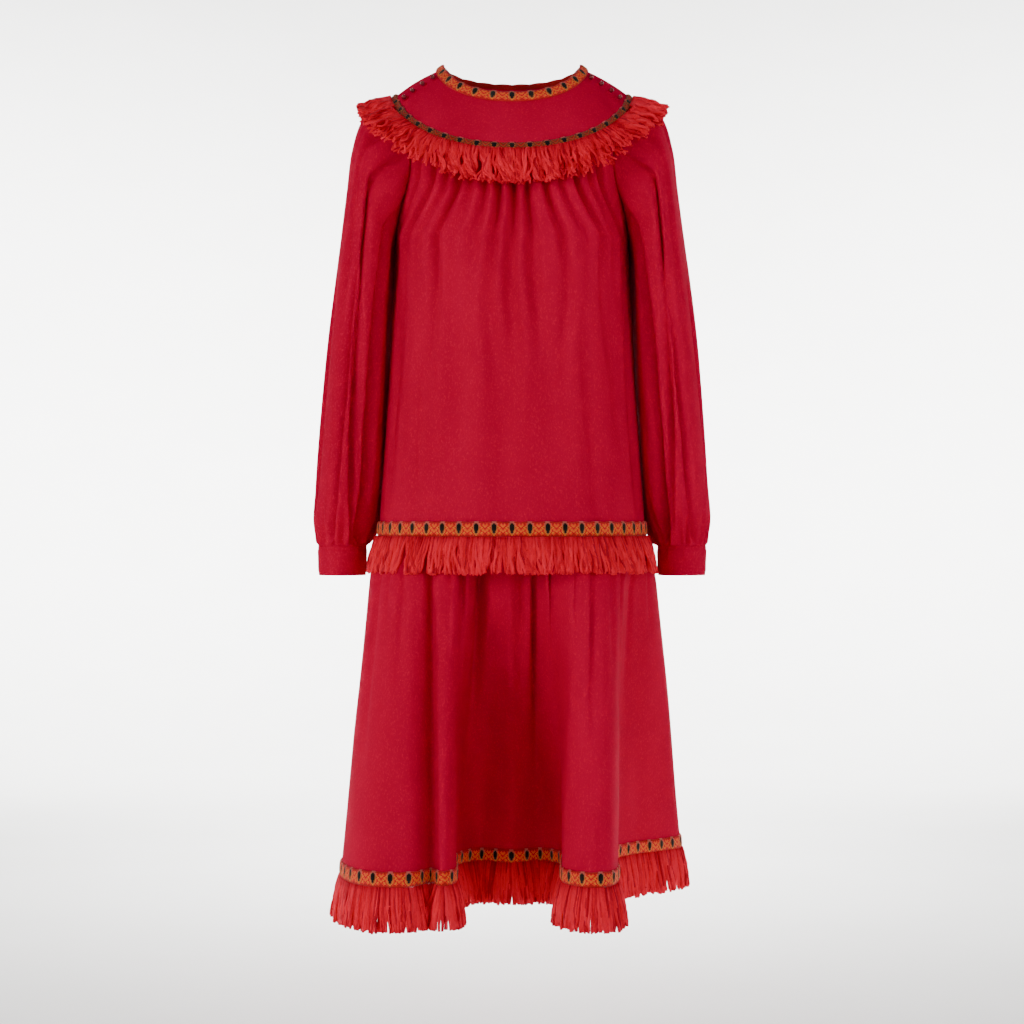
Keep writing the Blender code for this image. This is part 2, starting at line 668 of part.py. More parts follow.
def make_fringe(name, top, bottom, normals, tips, sway, cloth, lock_every):
    """A strip with curled four-sided locks hanging from its roots, clear of the cloth behind."""
    count = len(top)
    pitch = np.roll(bottom, -1, axis=0) - bottom
    middles = (np.roll(bottom, -1, axis=0) + bottom) / 2.0 + normals * FRINGE_THICK / 2.0
    waists = middles + (tips - middles) * 0.5
    if cloth is not None:
        along = unit(pitch)
        tips = keep_outside(tips, normals, cloth, along, LOCK_REACH)
        waists = keep_outside(middles + (tips - middles) * 0.5, normals, cloth, along, LOCK_REACH)
    thick = normals * FRINGE_THICK
    vertices = list(top + thick) + list(bottom + thick) + list(top) + list(bottom)
    faces = []
    for i in range(count):
        j = (i + 1) % count
        faces.append((i, j, 2 * count + j, 2 * count + i))
        faces.append((i, count + i, count + j, j))
        faces.append((2 * count + j, 3 * count + j, 3 * count + i, 2 * count + i))
        root = (count + i, count + j, 3 * count + j, 3 * count + i)
        if i % lock_every:
            faces.append(root[::-1])
            continue
        along = pitch[i]
        outward = (normals[i] + normals[j]) * FRINGE_THICK / 2.0
        waist = waists[i] + along * sway * math.sin(2.4 * i)
        start = len(vertices)
        for side, depth in ((-1, 1), (1, 1), (1, -1), (-1, -1)):
            vertices.append(waist + along * side * LOCK_FILL + outward * depth * 0.5)
        tip = len(vertices)
        vertices.append(tips[i] - along * sway * math.sin(2.4 * i))
        for k in range(4):
            m = (k + 1) % 4
            faces.append((root[k], start + k, start + m, root[m]))
            faces.append((start + k, tip, start + m))
    make_object(name, vertices, faces, CORAL_FRINGE)


def make_yoke_fringe(angles, cloth):
    """The fringe that hangs from the yoke seam and stands out over the shoulders."""
    upper = yoke_point(angles, YOKE_LEVELS[2])
    lower = yoke_point(angles, YOKE_LEVELS[3])
    normals = seam_normal(angles)
    top, bottom = (upper + (lower - upper) * reach + normals * SEAM_GAP for reach in YOKE_STRIP_REACH)
    side = np.abs(np.sin(np.radians(angles)))
    outward = unit(normals * np.array([1.0, 1.0, 0.0]))
    droop = np.radians(74.0 - 46.0 * smooth_step((side - 0.25) / 0.6))[:, None]
    lean = outward * np.cos(droop) - np.array([0.0, 0.0, 1.0]) * np.sin(droop)
    uneven = 1.0 + 0.07 * np.sin(np.arange(len(angles)) * 1.9)
    tips = bottom + normals * HEM_FRINGE_STAND + lean * (YOKE_FRINGE_LENGTH * uneven)[:, None]
    make_fringe("yoke_fringe", top, bottom, normals, tips, 0.08, cloth, YOKE_LOCK_EVERY)


def make_tunic_fringe(columns):
    """The fringe that hangs from the tunic's lower edge over the lower tier."""
    angles = np.linspace(-180.0, 180.0, RING_POINTS, endpoint=False)
    x, y = tunic_oval(angles, np.full(len(angles), TUNIC_HEM_Z))
    ring = resample_ring(np.stack([x, y, np.zeros(len(angles))], axis=-1), TUNIC_LOCKS)
    outward = unit(ring / np.array([TUNIC_HEM_HALF_WIDTH ** 2, TUNIC_HEM_HALF_DEPTH ** 2, 1.0]))
    base = ring + outward * FRINGE_OFFSET
    top = base + np.array([0.0, 0.0, TUNIC_HEM_Z + STRIP_HEIGHT])
    bottom = base + np.array([0.0, 0.0, TUNIC_HEM_Z])
    uneven = 1.0 + 0.08 * np.sin(np.arange(TUNIC_LOCKS) * 2.3)
    length = TUNIC_FRINGE_LENGTH * uneven
    beside_cuff = np.exp(-((base[:, 1] - CUFF_CENTRE_Y) / 0.06) ** 4)
    tips = base + outward * (FRINGE_STAND - (FRINGE_STAND - FRINGE_STAND_AT_CUFF) * beside_cuff)[:, None]
    tips[:, 2] = TUNIC_HEM_Z - length
    levels = np.linspace(0.0, 0.16, 12)
    cloth = np.concatenate([skirt_row(columns, level) for level in levels])
    make_fringe("tunic_fringe", top, bottom, outward, tips, 0.06, cloth, 1)


def keep_outside(points, outward, cloth, along, reach_across):
    """Move each point outward until it is clear of the cloth's points near it."""
    moved = points.copy()
    for i, point in enumerate(points):
        offset = cloth - point
        across = np.abs(offset @ along[i])
        height = offset @ outward[i]
        beside = np.linalg.norm(offset - np.outer(height, outward[i]), axis=1)
        near = (across < reach_across) & (beside < 2.0 * reach_across) & (np.abs(height) < 0.06)
        if near.any():
            moved[i] += outward[i] * max(0.0, float(height[near].max()) + LOCK_CLEARANCE)
    return moved


def make_hem_trims(columns, skirt):
    """The braid round the hem, and the fringe that hangs under it."""
    normals = skirt_normals(skirt)[-2:]
    make_braid("hem_braid", skirt[-2:], normals)
    edge = skirt[-1] - normals[-1] * CLOTH * 0.5
    ring = resample_ring(edge, HEM_LOCKS)
    across = np.roll(ring, -1, axis=0) - np.roll(ring, 1, axis=0)
    outward = unit(np.stack([across[:, 1], -across[:, 0], np.zeros(HEM_LOCKS)], axis=-1))
    base = ring - outward * FRINGE_THICK * 0.5
    top = base - np.array([0.0, 0.0, SEAM_GAP])
    bottom = base - np.array([0.0, 0.0, SEAM_GAP + STRIP_HEIGHT])
    uneven = 1.0 + 0.08 * np.sin(np.arange(HEM_LOCKS) * 2.1)
    tips = ring + outward * HEM_FRINGE_STAND
    tips[:, 2] = HEM_Z - HEM_FRINGE_LENGTH * uneven
    make_fringe("hem_fringe", top, bottom, outward, tips, 0.05, None, 1)


def make_buttons():
    """Ball buttons on short shanks, four down the front of each shoulder."""
    for side, word in ((1, "left"), (-1, "right")):
        for number, place in enumerate(BUTTON_PLACES, start=1):
            angle = np.array([side * BUTTON_ANGLE])
            seat = yoke_point(angle, place)[0]
            down = yoke_point(angle, place + 0.1)[0] - yoke_point(angle, place - 0.1)[0]
            along = unit(yoke_point(angle + 2.0, place)[0] - yoke_point(angle - 2.0, place)[0])
            up = unit(np.cross(down, along))
            across = np.cross(up, along)
            vertices = []
            for radius, height in BUTTON_PROFILE:
                for k in range(BUTTON_SIDES):
                    turn = 2.0 * math.pi * k / BUTTON_SIDES
                    spoke = along * math.cos(turn) + across * math.sin(turn)
                    vertices.append(seat + up * height + spoke * radius)
            faces = [tuple(range(BUTTON_SIDES))]
            last = (len(BUTTON_PROFILE) - 1) * BUTTON_SIDES
            faces.append(tuple(range(last, last + BUTTON_SIDES))[::-1])
            for ring in range(len(BUTTON_PROFILE) - 1):
                for k in range(BUTTON_SIDES):
                    a = ring * BUTTON_SIDES + k
                    b = ring * BUTTON_SIDES + (k + 1) % BUTTON_SIDES
                    faces.append((a, b, b + BUTTON_SIDES, a + BUTTON_SIDES))
            make_object(f"button_{word}_{number}", vertices, faces, RED_BUTTON)


def build():
    """The whole dress, from the neck down."""
    clear_scene()
    front_places = gather_places(FRONT_GATHERS)
    back_places = gather_places(BACK_GATHERS)
    shoulder_angles = np.linspace(ARMHOLE_ANGLE, 180.0 - ARMHOLE_ANGLE, SHOULDER_COLUMNS + 1)
    yoke_angles = make_yoke(front_places * ARMHOLE_ANGLE, 180.0 + back_places * ARMHOLE_ANGLE,
                            shoulder_angles)
    make_yoke_braids(yoke_angles)
    cloth = make_tunic(front_places, back_places)
    cloth.append(make_sleeve("sleeve_left", 1.0))
    cloth.append(make_sleeve("sleeve_right", -1.0))
    make_yoke_fringe(yoke_angles, np.concatenate(cloth))
    make_cuff("cuff_left", 1.0)
    make_cuff("cuff_right", -1.0)
    tunic_angles = np.concatenate([front_places[:-1] * 90.0, 180.0 + back_places[:-1] * 90.0])
    make_tunic_braid(tunic_angles)
    columns = skirt_columns()
    skirt = make_skirt(columns)
    make_tunic_fringe(columns)
    make_hem_trims(columns, skirt)
    make_buttons()


build()
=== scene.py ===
# Tiered folk-style smock dress of crimson wool crepe, filled out as worn, with nobody in it.
# The front faces -Y, +Z is up, +X is the wearer's left. Lengths are in metres.
import math
import random

import bpy
import numpy as np
from mathutils.bvhtree import BVHTree
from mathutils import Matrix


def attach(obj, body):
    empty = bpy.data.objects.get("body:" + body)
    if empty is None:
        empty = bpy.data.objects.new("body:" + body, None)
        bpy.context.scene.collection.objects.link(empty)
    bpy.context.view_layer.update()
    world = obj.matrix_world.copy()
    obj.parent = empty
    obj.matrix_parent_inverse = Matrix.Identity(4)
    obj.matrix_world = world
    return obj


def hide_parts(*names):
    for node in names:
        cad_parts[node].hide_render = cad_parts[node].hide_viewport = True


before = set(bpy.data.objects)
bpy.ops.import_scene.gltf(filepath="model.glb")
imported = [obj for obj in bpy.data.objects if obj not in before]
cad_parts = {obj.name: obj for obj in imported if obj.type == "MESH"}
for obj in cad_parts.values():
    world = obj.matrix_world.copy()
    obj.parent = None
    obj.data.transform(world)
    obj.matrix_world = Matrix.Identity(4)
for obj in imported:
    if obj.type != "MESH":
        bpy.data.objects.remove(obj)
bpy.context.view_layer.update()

# The view of the photograph: level, from in front of the dress, at the height of its waist.
CAMERA_DISTANCE = 3.2
CAMERA_HEIGHT = -0.572
LENS_MM = 86.5

camera_data = bpy.data.cameras.new("front_camera")
camera_data.lens = LENS_MM
camera_data.sensor_width = 36.0
camera_data.dof.use_dof = False
camera = bpy.data.objects.new("front_camera", camera_data)
camera.location = (0.0, -CAMERA_DISTANCE, CAMERA_HEIGHT)
camera.rotation_euler = (math.pi / 2.0, 0.0, 0.0)
bpy.context.scene.collection.objects.link(camera)
bpy.context.scene.camera = camera

# The cloth: wool crepe, piece-dyed crimson, with a dry pebbled face.
# The tight twist of its yarn scatters light, so it is matt, with a faint halo of fibre at the edges.
def linear(hex_colour):
    """An sRGB hex colour as linear red, green, blue and alpha."""
    parts = [int(hex_colour[i:i + 2], 16) / 255.0 for i in (0, 2, 4)]
    return tuple(c / 12.92 if c <= 0.04045 else ((c + 0.055) / 1.055) ** 2.4 for c in parts) + (1.0,)


def add_node(tree, kind, inputs=None, **settings):
    """Add a node with its settings, and link or set its inputs."""
    item = tree.nodes.new(kind)
    for name, value in settings.items():
        setattr(item, name, value)
    for key, value in (inputs or {}).items():
        if isinstance(value, bpy.types.NodeSocket):
            tree.links.new(value, item.inputs[key])
        else:
            item.inputs[key].default_value = value
    return item


def noise(tree, place, scale, detail, roughness=0.5):
    """An even noise of grey, its scale in grains to the metre."""
    return add_node(tree, "ShaderNodeTexNoise", {
        "Vector": place, "Scale": scale, "Detail": detail, "Roughness": roughness}).outputs["Fac"]


def remap(tree, value, low, high, start=0.0, end=1.0):
    """A value between start and end, moved between low and high."""
    return add_node(tree, "ShaderNodeMapRange", {
        "Value": value, "From Min": start, "From Max": end, "To Min": low, "To Max": high}).outputs[0]


def blend(tree, share, first, second):
    """Two colours mixed by a share."""
    return add_node(tree, "ShaderNodeMix", {0: share, 6: first, 7: second}, data_type="RGBA").outputs[2]


def maths(tree, operation, *values):
    """The result of one maths node."""
    return add_node(tree, "ShaderNodeMath", dict(enumerate(values)), operation=operation).outputs[0]


def new_material(name):
    """An empty node material, and the place of each point on its piece."""
    material = bpy.data.materials.new(name)
    material.use_nodes = True
    tree = material.node_tree
    tree.nodes.clear()
    return material, tree, add_node(tree, "ShaderNodeTexCoord").outputs["Object"]


def finish_surface(tree, inputs):
    """Give a material its one surface."""
    shader = add_node(tree, "ShaderNodeBsdfPrincipled", inputs)
    add_node(tree, "ShaderNodeOutputMaterial", {"Surface": shader.outputs[0]})


CREPE_CRIMSON = "CA0038"
CREPE_SHADE = "AE002A"
CREPE_FLECK = "EE1A48"
PEBBLE_MM = 1.5
FLECK_MM = 1.8


def wool_crepe():
    """Wool crepe: pebbled, matt, with a few paler fibres lying on its face."""
    material, tree, place = new_material("crimson_wool_crepe")
    drape = add_node(tree, "ShaderNodeMapping", {"Vector": place, "Scale": (9.0, 9.0, 2.5)})
    depth = remap(tree, noise(tree, drape.outputs[0], 1.0, 3.0), 0.0, 0.55, 0.3, 0.7)
    ground = blend(tree, depth, linear(CREPE_CRIMSON), linear(CREPE_SHADE))
    grain = add_node(tree, "ShaderNodeMapping", {"Vector": place, "Scale": (1.0, 1.0, 0.55)}).outputs[0]
    spots = remap(tree, noise(tree, grain, 1000.0 / FLECK_MM, 2.0, 0.7), 0.0, 0.60, 0.52, 0.76)
    pebble = noise(tree, grain, 1000.0 / PEBBLE_MM, 3.0, 0.6)
    bump = add_node(tree, "ShaderNodeBump", {"Height": pebble, "Strength": 0.6, "Distance": 0.0008})
    finish_surface(tree, {
        "Base Color": blend(tree, spots, ground, linear(CREPE_FLECK)), "Normal": bump.outputs[0],
        "Roughness": remap(tree, pebble, 0.80, 0.96), "Specular IOR Level": 0.03,
        "Sheen Weight": 0.03, "Sheen Roughness": 0.4, "Sheen Tint": linear("C8143A")})
    return material


crepe = wool_crepe()


# The round yoke: two flat half rings of crepe, seamed at the shoulders.
# Its inner edge carries the neck's braid, and its outer edge takes in the gathers of all below it.
CLOTH = 0.0012
NECK_HALF_WIDTH = 0.092
NECK_FRONT = 0.078
NECK_BACK = 0.065
NECK_SIDE_Z = 0.003
NECK_FRONT_Z = -0.045
NECK_BACK_Z = -0.012
SEAM_HALF_WIDTH = 0.157
SEAM_FRONT = 0.115
SEAM_BACK = 0.102
SEAM_SIDE_Z = -0.036
SEAM_FRONT_Z = -0.119
SEAM_BACK_Z = -0.121
CREST_ROUNDING = 0.12
OVAL_POWER = 0.94
YOKE_BULGE = 0.003
FRONT_TILT = 20.0
SIDE_TILT = 53.0
YOKE_COLUMNS = 200
YOKE_ROWS = 30


def unit(vectors):
    """Scale each vector to length one."""
    return vectors / np.maximum(np.linalg.norm(vectors, axis=-1, keepdims=True), 1e-9)


def smooth_step(value):
    """Ease from 0 to 1."""
    t = np.clip(value, 0.0, 1.0)
    return t * t * (3.0 - 2.0 * t)


def held(value, start, end, rise, fall):
    """Ease up from start and back down to end, over a rise and a fall."""
    return smooth_step((value - start) / rise) * (1.0 - smooth_step((value - end + fall) / fall))


def spline(a, b, c, d, t):
    """Point of a smooth curve through a, b, c and d, at a share of the way from b to c."""
    bend = 2.0 * a - 5.0 * b + 4.0 * c - d
    return b + 0.5 * ((c - a) * t + bend * t * t + (3.0 * b - a - 3.0 * c + d) * t ** 3)


def read_off(marks, walked, line):
    """Places on a line at marks along its walked length."""
    return np.stack([np.interp(marks, walked, line[:, i]) for i in range(3)], axis=-1)


def level_points(x, y, z):
    """Points that all lie at one height."""
    return np.stack([x, y, np.full(len(x), z)], axis=-1)


def turned_from(angle, middle):
    """Degrees from a middle round to an angle, between -180 and 180."""
    return (angle - middle + 180.0) % 360.0 - 180.0


def oval(angle, half_width, front, back):
    """Plan point of an oval, at an angle in degrees from the front towards +X."""
    turn = np.radians(angle)
    side = np.sin(turn)
    ahead = np.cos(turn)
    depth = np.where(ahead > 0.0, front, back)
    x = half_width * np.sign(side) * np.abs(side) ** OVAL_POWER
    y = -depth * np.sign(ahead) * np.abs(ahead) ** OVAL_POWER
    return x, y


def dip(angle):
    """Share of the fall from the shoulder to the front or back, rounded at the crest."""
    ahead = np.cos(np.radians(angle))
    deepest = math.hypot(1.0, CREST_ROUNDING) - CREST_ROUNDING
    return (np.sqrt(ahead ** 2 + CREST_ROUNDING ** 2) - CREST_ROUNDING) / deepest


def neck_ring(angle):
    """Points of the neck's edge."""
    x, y = oval(angle, NECK_HALF_WIDTH, NECK_FRONT, NECK_BACK)
    low = np.where(np.cos(np.radians(angle)) > 0.0, NECK_FRONT_Z, NECK_BACK_Z)
    return np.stack([x, y, NECK_SIDE_Z + (low - NECK_SIDE_Z) * dip(angle)], axis=-1)


def seam_ring(angle):
    """Points of the seam between the yoke and what is gathered into it."""
    x, y = oval(angle, SEAM_HALF_WIDTH, SEAM_FRONT, SEAM_BACK)
    low = np.where(np.cos(np.radians(angle)) > 0.0, SEAM_FRONT_Z, SEAM_BACK_Z)
    return np.stack([x, y, SEAM_SIDE_Z + (low - SEAM_SIDE_Z) * dip(angle)], axis=-1)


def seam_normal(angle):
    """Outward direction shared by the pieces that meet at the yoke seam."""
    turn = np.radians(angle)
    tilt = np.radians(FRONT_TILT + (SIDE_TILT - FRONT_TILT) * np.sin(turn) ** 2)
    return np.stack([np.sin(turn) * np.cos(tilt), -np.cos(turn) * np.cos(tilt), np.sin(tilt)], axis=-1)


def yoke_point(angle, level):
    """Point of the yoke, from 0 at the neck to 1 at its seam."""
    top = neck_ring(angle)
    low = seam_ring(angle)
    swell = YOKE_BULGE * 4.0 * level * (1.0 - level)
    return top + (low - top) * level + seam_normal(angle) * swell


def grid_normals(points, closed):
    """Outward normals of a grid, its rows from the top and its columns towards +X at the front."""
    down = np.gradient(points, axis=0)
    if closed:
        across = np.roll(points, -1, axis=1) - np.roll(points, 1, axis=1)
    else:
        across = np.gradient(points, axis=1)
    return unit(np.cross(down, across))


def new_piece(name, vertices, faces, material, nodes):
    """A mesh piece on the dress's one body, in place of its solids."""
    mesh = bpy.data.meshes.new(name)
    mesh.from_pydata(np.asarray(vertices, dtype=float).tolist(), [], faces)
    mesh.update()
    mesh.shade_smooth()
    mesh.materials.append(material)
    piece = bpy.data.objects.new(name, mesh)
    bpy.context.scene.collection.objects.link(piece)
    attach(piece, "root")
    if nodes:
        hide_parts(*nodes)
    return piece


def grid_faces(rows, columns, closed, start=0, flip=False):
    """Quads between neighbouring points of a grid."""
    steps = columns if closed else columns - 1
    r = np.arange(rows - 1)[:, None] * columns
    c = np.arange(steps)[None, :]
    n = (np.arange(steps)[None, :] + 1) % columns
    quads = np.stack([r + c, r + columns + c, r + columns + n, r + n], axis=-1).reshape(-1, 4) + start
    return (quads[:, ::-1] if flip else quads).tolist()


def tube_faces(rows, sides, start=0):
    """Faces of a tube of rings, closed at both ends."""
    first = tuple(range(start, start + sides))
    last = tuple(range(start + (rows - 1) * sides, start + rows * sides))
    return grid_faces(rows, sides, True, start, True) + [first[::-1], last]


def cloth_wall(name, outer, closed, material, nodes, normals=None):
    """A thin closed wall of cloth behind its outer points."""
    rows, columns = outer.shape[:2]
    if normals is None:
        normals = grid_normals(outer, closed)
    inner = outer - normals * CLOTH
    count = rows * columns
    vertices = np.concatenate([outer.reshape(-1, 3), inner.reshape(-1, 3)])
    faces = grid_faces(rows, columns, closed)
    faces += grid_faces(rows, columns, closed, count, True)
    steps = columns if closed else columns - 1
    for c in range(steps):
        n = (c + 1) % columns
        low = (rows - 1) * columns
        faces.append((c, n, count + n, count + c))
        faces.append((low + n, low + c, count + low + c, count + low + n))
    if not closed:
        for r in range(rows - 1):
            a, b = r * columns, (r + 1) * columns
            faces.append((b, a, count + a, count + b))
            a, b = a + columns - 1, b + columns - 1
            faces.append((a, b, count + b, count + a))
    return new_piece(name, vertices, faces, material, nodes)


def uneven_wave(place, beat, seed):
    """A smooth uneven wave along a line, between about -1 and 1."""
    draw = random.Random(seed)
    total = np.zeros(np.shape(place))
    for share in (0.61, 1.0, 1.37, 1.93):
        total = total + np.sin(place * beat * share + draw.uniform(0.0, 6.28)) / share
    return total / 2.4


for name, start in (("yoke_front", -90.0), ("yoke_back", 90.0)):
    angles = np.linspace(start + 0.08, start + 179.92, YOKE_COLUMNS)
    levels = np.linspace(0.0, 1.0, YOKE_ROWS)
    grid = np.array([yoke_point(angles, level) for level in levels])
    lift = seam_normal(angles)
    strain = uneven_wave(angles, 0.42, 11) * 0.0009
    at_seam = smooth_step((levels - 0.45) / 0.5)[:, None]
    seam_roll = 0.0012 * np.exp(-((np.abs(angles - start - 90.0) - 90.0) / 1.6) ** 2)
    grid = grid + lift * (strain * at_seam - seam_roll)[..., None]
    piece = cloth_wall(name + "_cloth", grid, False, crepe, [name],
                       np.broadcast_to(lift, grid.shape))


# The tunic: a front and a back width, gathered into the yoke and hanging free to the low seam.
# The gathers are deep at the yoke and open out into long soft folds by the waist.
ARMHOLE_ANGLE = 55.0
UNDERARM_Z = -0.22
ARMHOLE_CURVE = 2.2
TUNIC_HEM_Z = -0.606
TUNIC_COLUMNS = 150
GATHER_START = 0.025
GATHER_WIDTH = 0.027
GATHER_SWELL = 2.2
PUCKER_DEPTH = 0.0020
TUNIC_CREASE_DEPTH = 0.0028
TUNIC_SECTIONS = (
    # z, half width, front, back
    (-0.09, 0.145, 0.114, 0.101),
    (-0.12, 0.147, 0.117, 0.103),
    (-0.20, 0.150, 0.129, 0.113),
    (-0.27, 0.153, 0.137, 0.118),
    (-0.40, 0.160, 0.138, 0.122),
    (-0.50, 0.167, 0.141, 0.128),
    (-0.61, 0.174, 0.146, 0.134),
)
FRONT_GATHERS = (
    # place, depth in mm, reach in m
    (-0.896, 5, 0.20), (-0.72, 6, 0.30), (-0.573, 5, 0.17), (-0.437, 7, 0.34),
    (-0.313, 5, 0.14), (-0.20, 6, 0.22), (-0.10, 8.5, 0.34), (0, 9.5, 0.40),
    (0.107, 8.5, 0.30), (0.275, 6, 0.38), (0.409, 5, 0.17), (0.549, 7, 0.28),
    (0.68, 5, 0.20), (0.81, 6, 0.32),
)
BACK_GATHERS = (
    # place, depth in mm, reach in m
    (-0.86, 5, 0.28), (-0.68, 6, 0.20), (-0.52, 5, 0.32), (-0.36, 7, 0.22),
    (-0.22, 5, 0.36), (-0.07, 7, 0.28), (0.08, 6, 0.40), (0.23, 6, 0.20),
    (0.38, 7, 0.30), (0.53, 5, 0.22), (0.69, 7, 0.34), (0.86, 5, 0.20),
)
TUNIC_CREASES = (
    # top place, low place, depth in mm, width, start z, end z
    (-0.80, -0.74, 2.5, 0.06, -0.22, -0.58),
    (-0.52, -0.50, 2.0, 0.05, -0.30, -0.60),
    (-0.30, -0.24, 2.5, 0.06, -0.24, -0.55),
    (-0.06, -0.05, 3.0, 0.05, -0.28, -0.60),
    (0.16, 0.20, 2.0, 0.06, -0.26, -0.52),
    (0.38, 0.42, 2.5, 0.05, -0.30, -0.60),
    (0.60, 0.60, 2.0, 0.06, -0.22, -0.50),
    (0.82, 0.78, 3.0, 0.06, -0.24, -0.60),
)


def tunic_oval(angle, z):
    """Plan point of the tunic at a height."""
    table = np.array(TUNIC_SECTIONS)[::-1]
    half_width = np.interp(z, table[:, 0], table[:, 1])
    front = np.interp(z, table[:, 0], table[:, 2])
    back = np.interp(z, table[:, 0], table[:, 3])
    return oval(angle, half_width, front, back)


def gather_depth(place, fall, gathers):
    """How far the gathers draw the cloth in, at a place across and a fall below the seam."""
    drawn = np.zeros(np.broadcast(place, fall).shape)
    for middle, depth, reach in gathers:
        wander = 0.012 * np.sin(fall * 31.0 + middle * 9.0)
        shape = np.exp(-((place - middle - wander) / (GATHER_WIDTH * (1.0 + 2.2 * fall))) ** 2)
        fade = smooth_step(fall / GATHER_START) * (1.0 - smooth_step(fall / (1.25 * reach)))
        drawn = drawn + 0.001 * depth * shape * fade
    return drawn


def tunic_grid(places, middle, gathers, rows):
    """Outer points of a tunic panel, whose middle lies at an angle from the front."""
    grid = []
    for level, z_below in rows:
        spread = ARMHOLE_ANGLE + (90.0 - ARMHOLE_ANGLE) * level ** ARMHOLE_CURVE
        top_angle = middle + places * ARMHOLE_ANGLE
        angle = middle + places * spread
        top = seam_ring(top_angle)
        z = top[:, 2] + (UNDERARM_Z - top[:, 2]) * level
        if z_below is not None:
            z = np.full(len(places), z_below)
        x, y = tunic_oval(angle, z)
        share = smooth_step(1.4 * level)
        x = top[:, 0] + (x - top[:, 0]) * share
        y = top[:, 1] + (y - top[:, 1]) * share
        turn = np.radians(angle)
        fall = top[:, 2] - z
        drawn = gather_depth(places, fall, gathers)
        pucker = uneven_wave(places, 62.0, 5) * smooth_step(fall / 0.008) * np.exp(-fall / 0.035)
        drawn = drawn * GATHER_SWELL + PUCKER_DEPTH * pucker
        for high, low, depth, width, start, end in TUNIC_CREASES if gathers else ():
            along = np.clip((start - z) / (start - end), 0.0, 1.0)
            ease = np.sin(np.pi * along) ** 0.8
            away = (places - high - (low - high) * along) / width
            drawn = drawn + TUNIC_CREASE_DEPTH * depth * ease * np.exp(-away ** 2)
        if gathers:
            drawn = drawn + 0.0007 * uneven_wave(places + 0.12 * z, 17.0, 23) * smooth_step(fall / 0.1)
        grid.append(np.stack([x - np.sin(turn) * drawn, y + np.cos(turn) * drawn, z], axis=-1))
    return np.array(grid)


tunic_rows = [(level, None) for level in np.linspace(0.0, 1.0, 50)]
tunic_rows += [(1.0, z) for z in np.linspace(UNDERARM_Z, TUNIC_HEM_Z, 76)[1:]]
places = np.linspace(-0.9995, 0.9995, TUNIC_COLUMNS)
tunic_outsides = []
for name, middle, gathers in (("body_front", 0.0, FRONT_GATHERS), ("body_back", 180.0, BACK_GATHERS)):
    grid = tunic_grid(places, middle, gathers, tunic_rows)
    tunic_outsides.append(grid)
    piece = cloth_wall(name + "_cloth", grid, False, crepe, [name])


# The bishop sleeves: one width of crepe each, gathered over the shoulder and into the cuff.
# They hang straight beside the body, with long folds that twist a little on their way down.
OVER_COLUMNS = 76
UNDER_COLUMNS = 60
SLEEVE_ROWS = 112
HEAD_HALF_SPAN = 62.0
ARM_HALF_SPAN = 112.0
TUNIC_CLEARANCE = 0.0034
SLEEVE_SECTIONS = (
    # outer x, outer z, inner x, inner z, half depth, centre y
    (0.190, -0.060, 0.1590, -0.234, 0.078, 0.000),
    (0.206, -0.102, 0.1622, -0.254, 0.079, 0.000),
    (0.2135, -0.155, 0.1632, -0.280, 0.077, 0.001),
    (0.2215, -0.210, 0.1640, -0.305, 0.075, 0.003),
    (0.2310, -0.275, 0.1648, -0.335, 0.074, 0.006),
    (0.2405, -0.350, 0.1665, -0.380, 0.073, 0.009),
    (0.2490, -0.440, 0.1700, -0.450, 0.072, 0.013),
    (0.2555, -0.525, 0.1738, -0.528, 0.070, 0.017),
    (0.2585, -0.575, 0.1785, -0.575, 0.062, 0.019),
    (0.2555, -0.600, 0.1865, -0.600, 0.045, 0.020),
    (0.2535, -0.6165, 0.1905, -0.6165, 0.033, 0.020),
)
SLEEVE_LAPS = (
    # angle, reach in m, width in degrees, first and last share of the length
    (-140, 0.010, 26, -0.10, 0.92),
    (140, 0.022, 34, -0.20, 1.02),
)
FOLD_LEAN = 0.55
FOLD_DEPTH = 0.0022
FOLD_NARROWING = 0.52
HEAD_GATHER_DEPTH = 0.0042
CUFF_GATHER_DEPTH = 0.0036
SLEEVE_FOLDS = (
    # angle, depth in mm, width in degrees, start and end as shares of the length, twist in degrees
    (-72, 6, 11, 0.30, 1.10, 10),
    (-103, 7.5, 12, -0.05, 0.95, -14),
    (-133, 8, 12, -0.02, 1.05, 8),
    (-122, 3, 8, 0.45, 0.95, -6),
    (-62, 4.5, 10, -0.08, 0.55, 9),
    (-30, 4.5, 12, 0.40, 1.10, -8),
    (12, 4, 12, 0.10, 0.70, 12),
    (50, 5.5, 13, 0.35, 1.10, -10),
    (92, 7, 13, 0.05, 0.85, 12),
    (136, 6.5, 13, 0.15, 1.05, -8),
    (160, 3, 9, 0.30, 0.90, 6),
)


def surface_tree(grids, closed):
    """A search tree over the outer faces of some cloth."""
    vertices, faces = [], []
    for grid in grids:
        faces += grid_faces(grid.shape[0], grid.shape[1], closed, len(vertices))
        vertices += grid.reshape(-1, 3).tolist()
    return BVHTree.FromPolygons(vertices, faces)


def hold_off(paths, tree, clearance):
    """Push points along lines out of the cloth behind them."""
    for path in paths:
        for k, point in enumerate(path):
            spot, normal, _, _ = tree.find_nearest(point.tolist(), 0.05)
            if spot is None:
                continue
            spot, normal = np.array(spot), np.array(normal)
            height = float((point - spot) @ normal)
            need = clearance * (0.5 + 0.5 * min(1.0, k / 3.0))
            if height < need:
                path[k] = point + normal * (need - height)


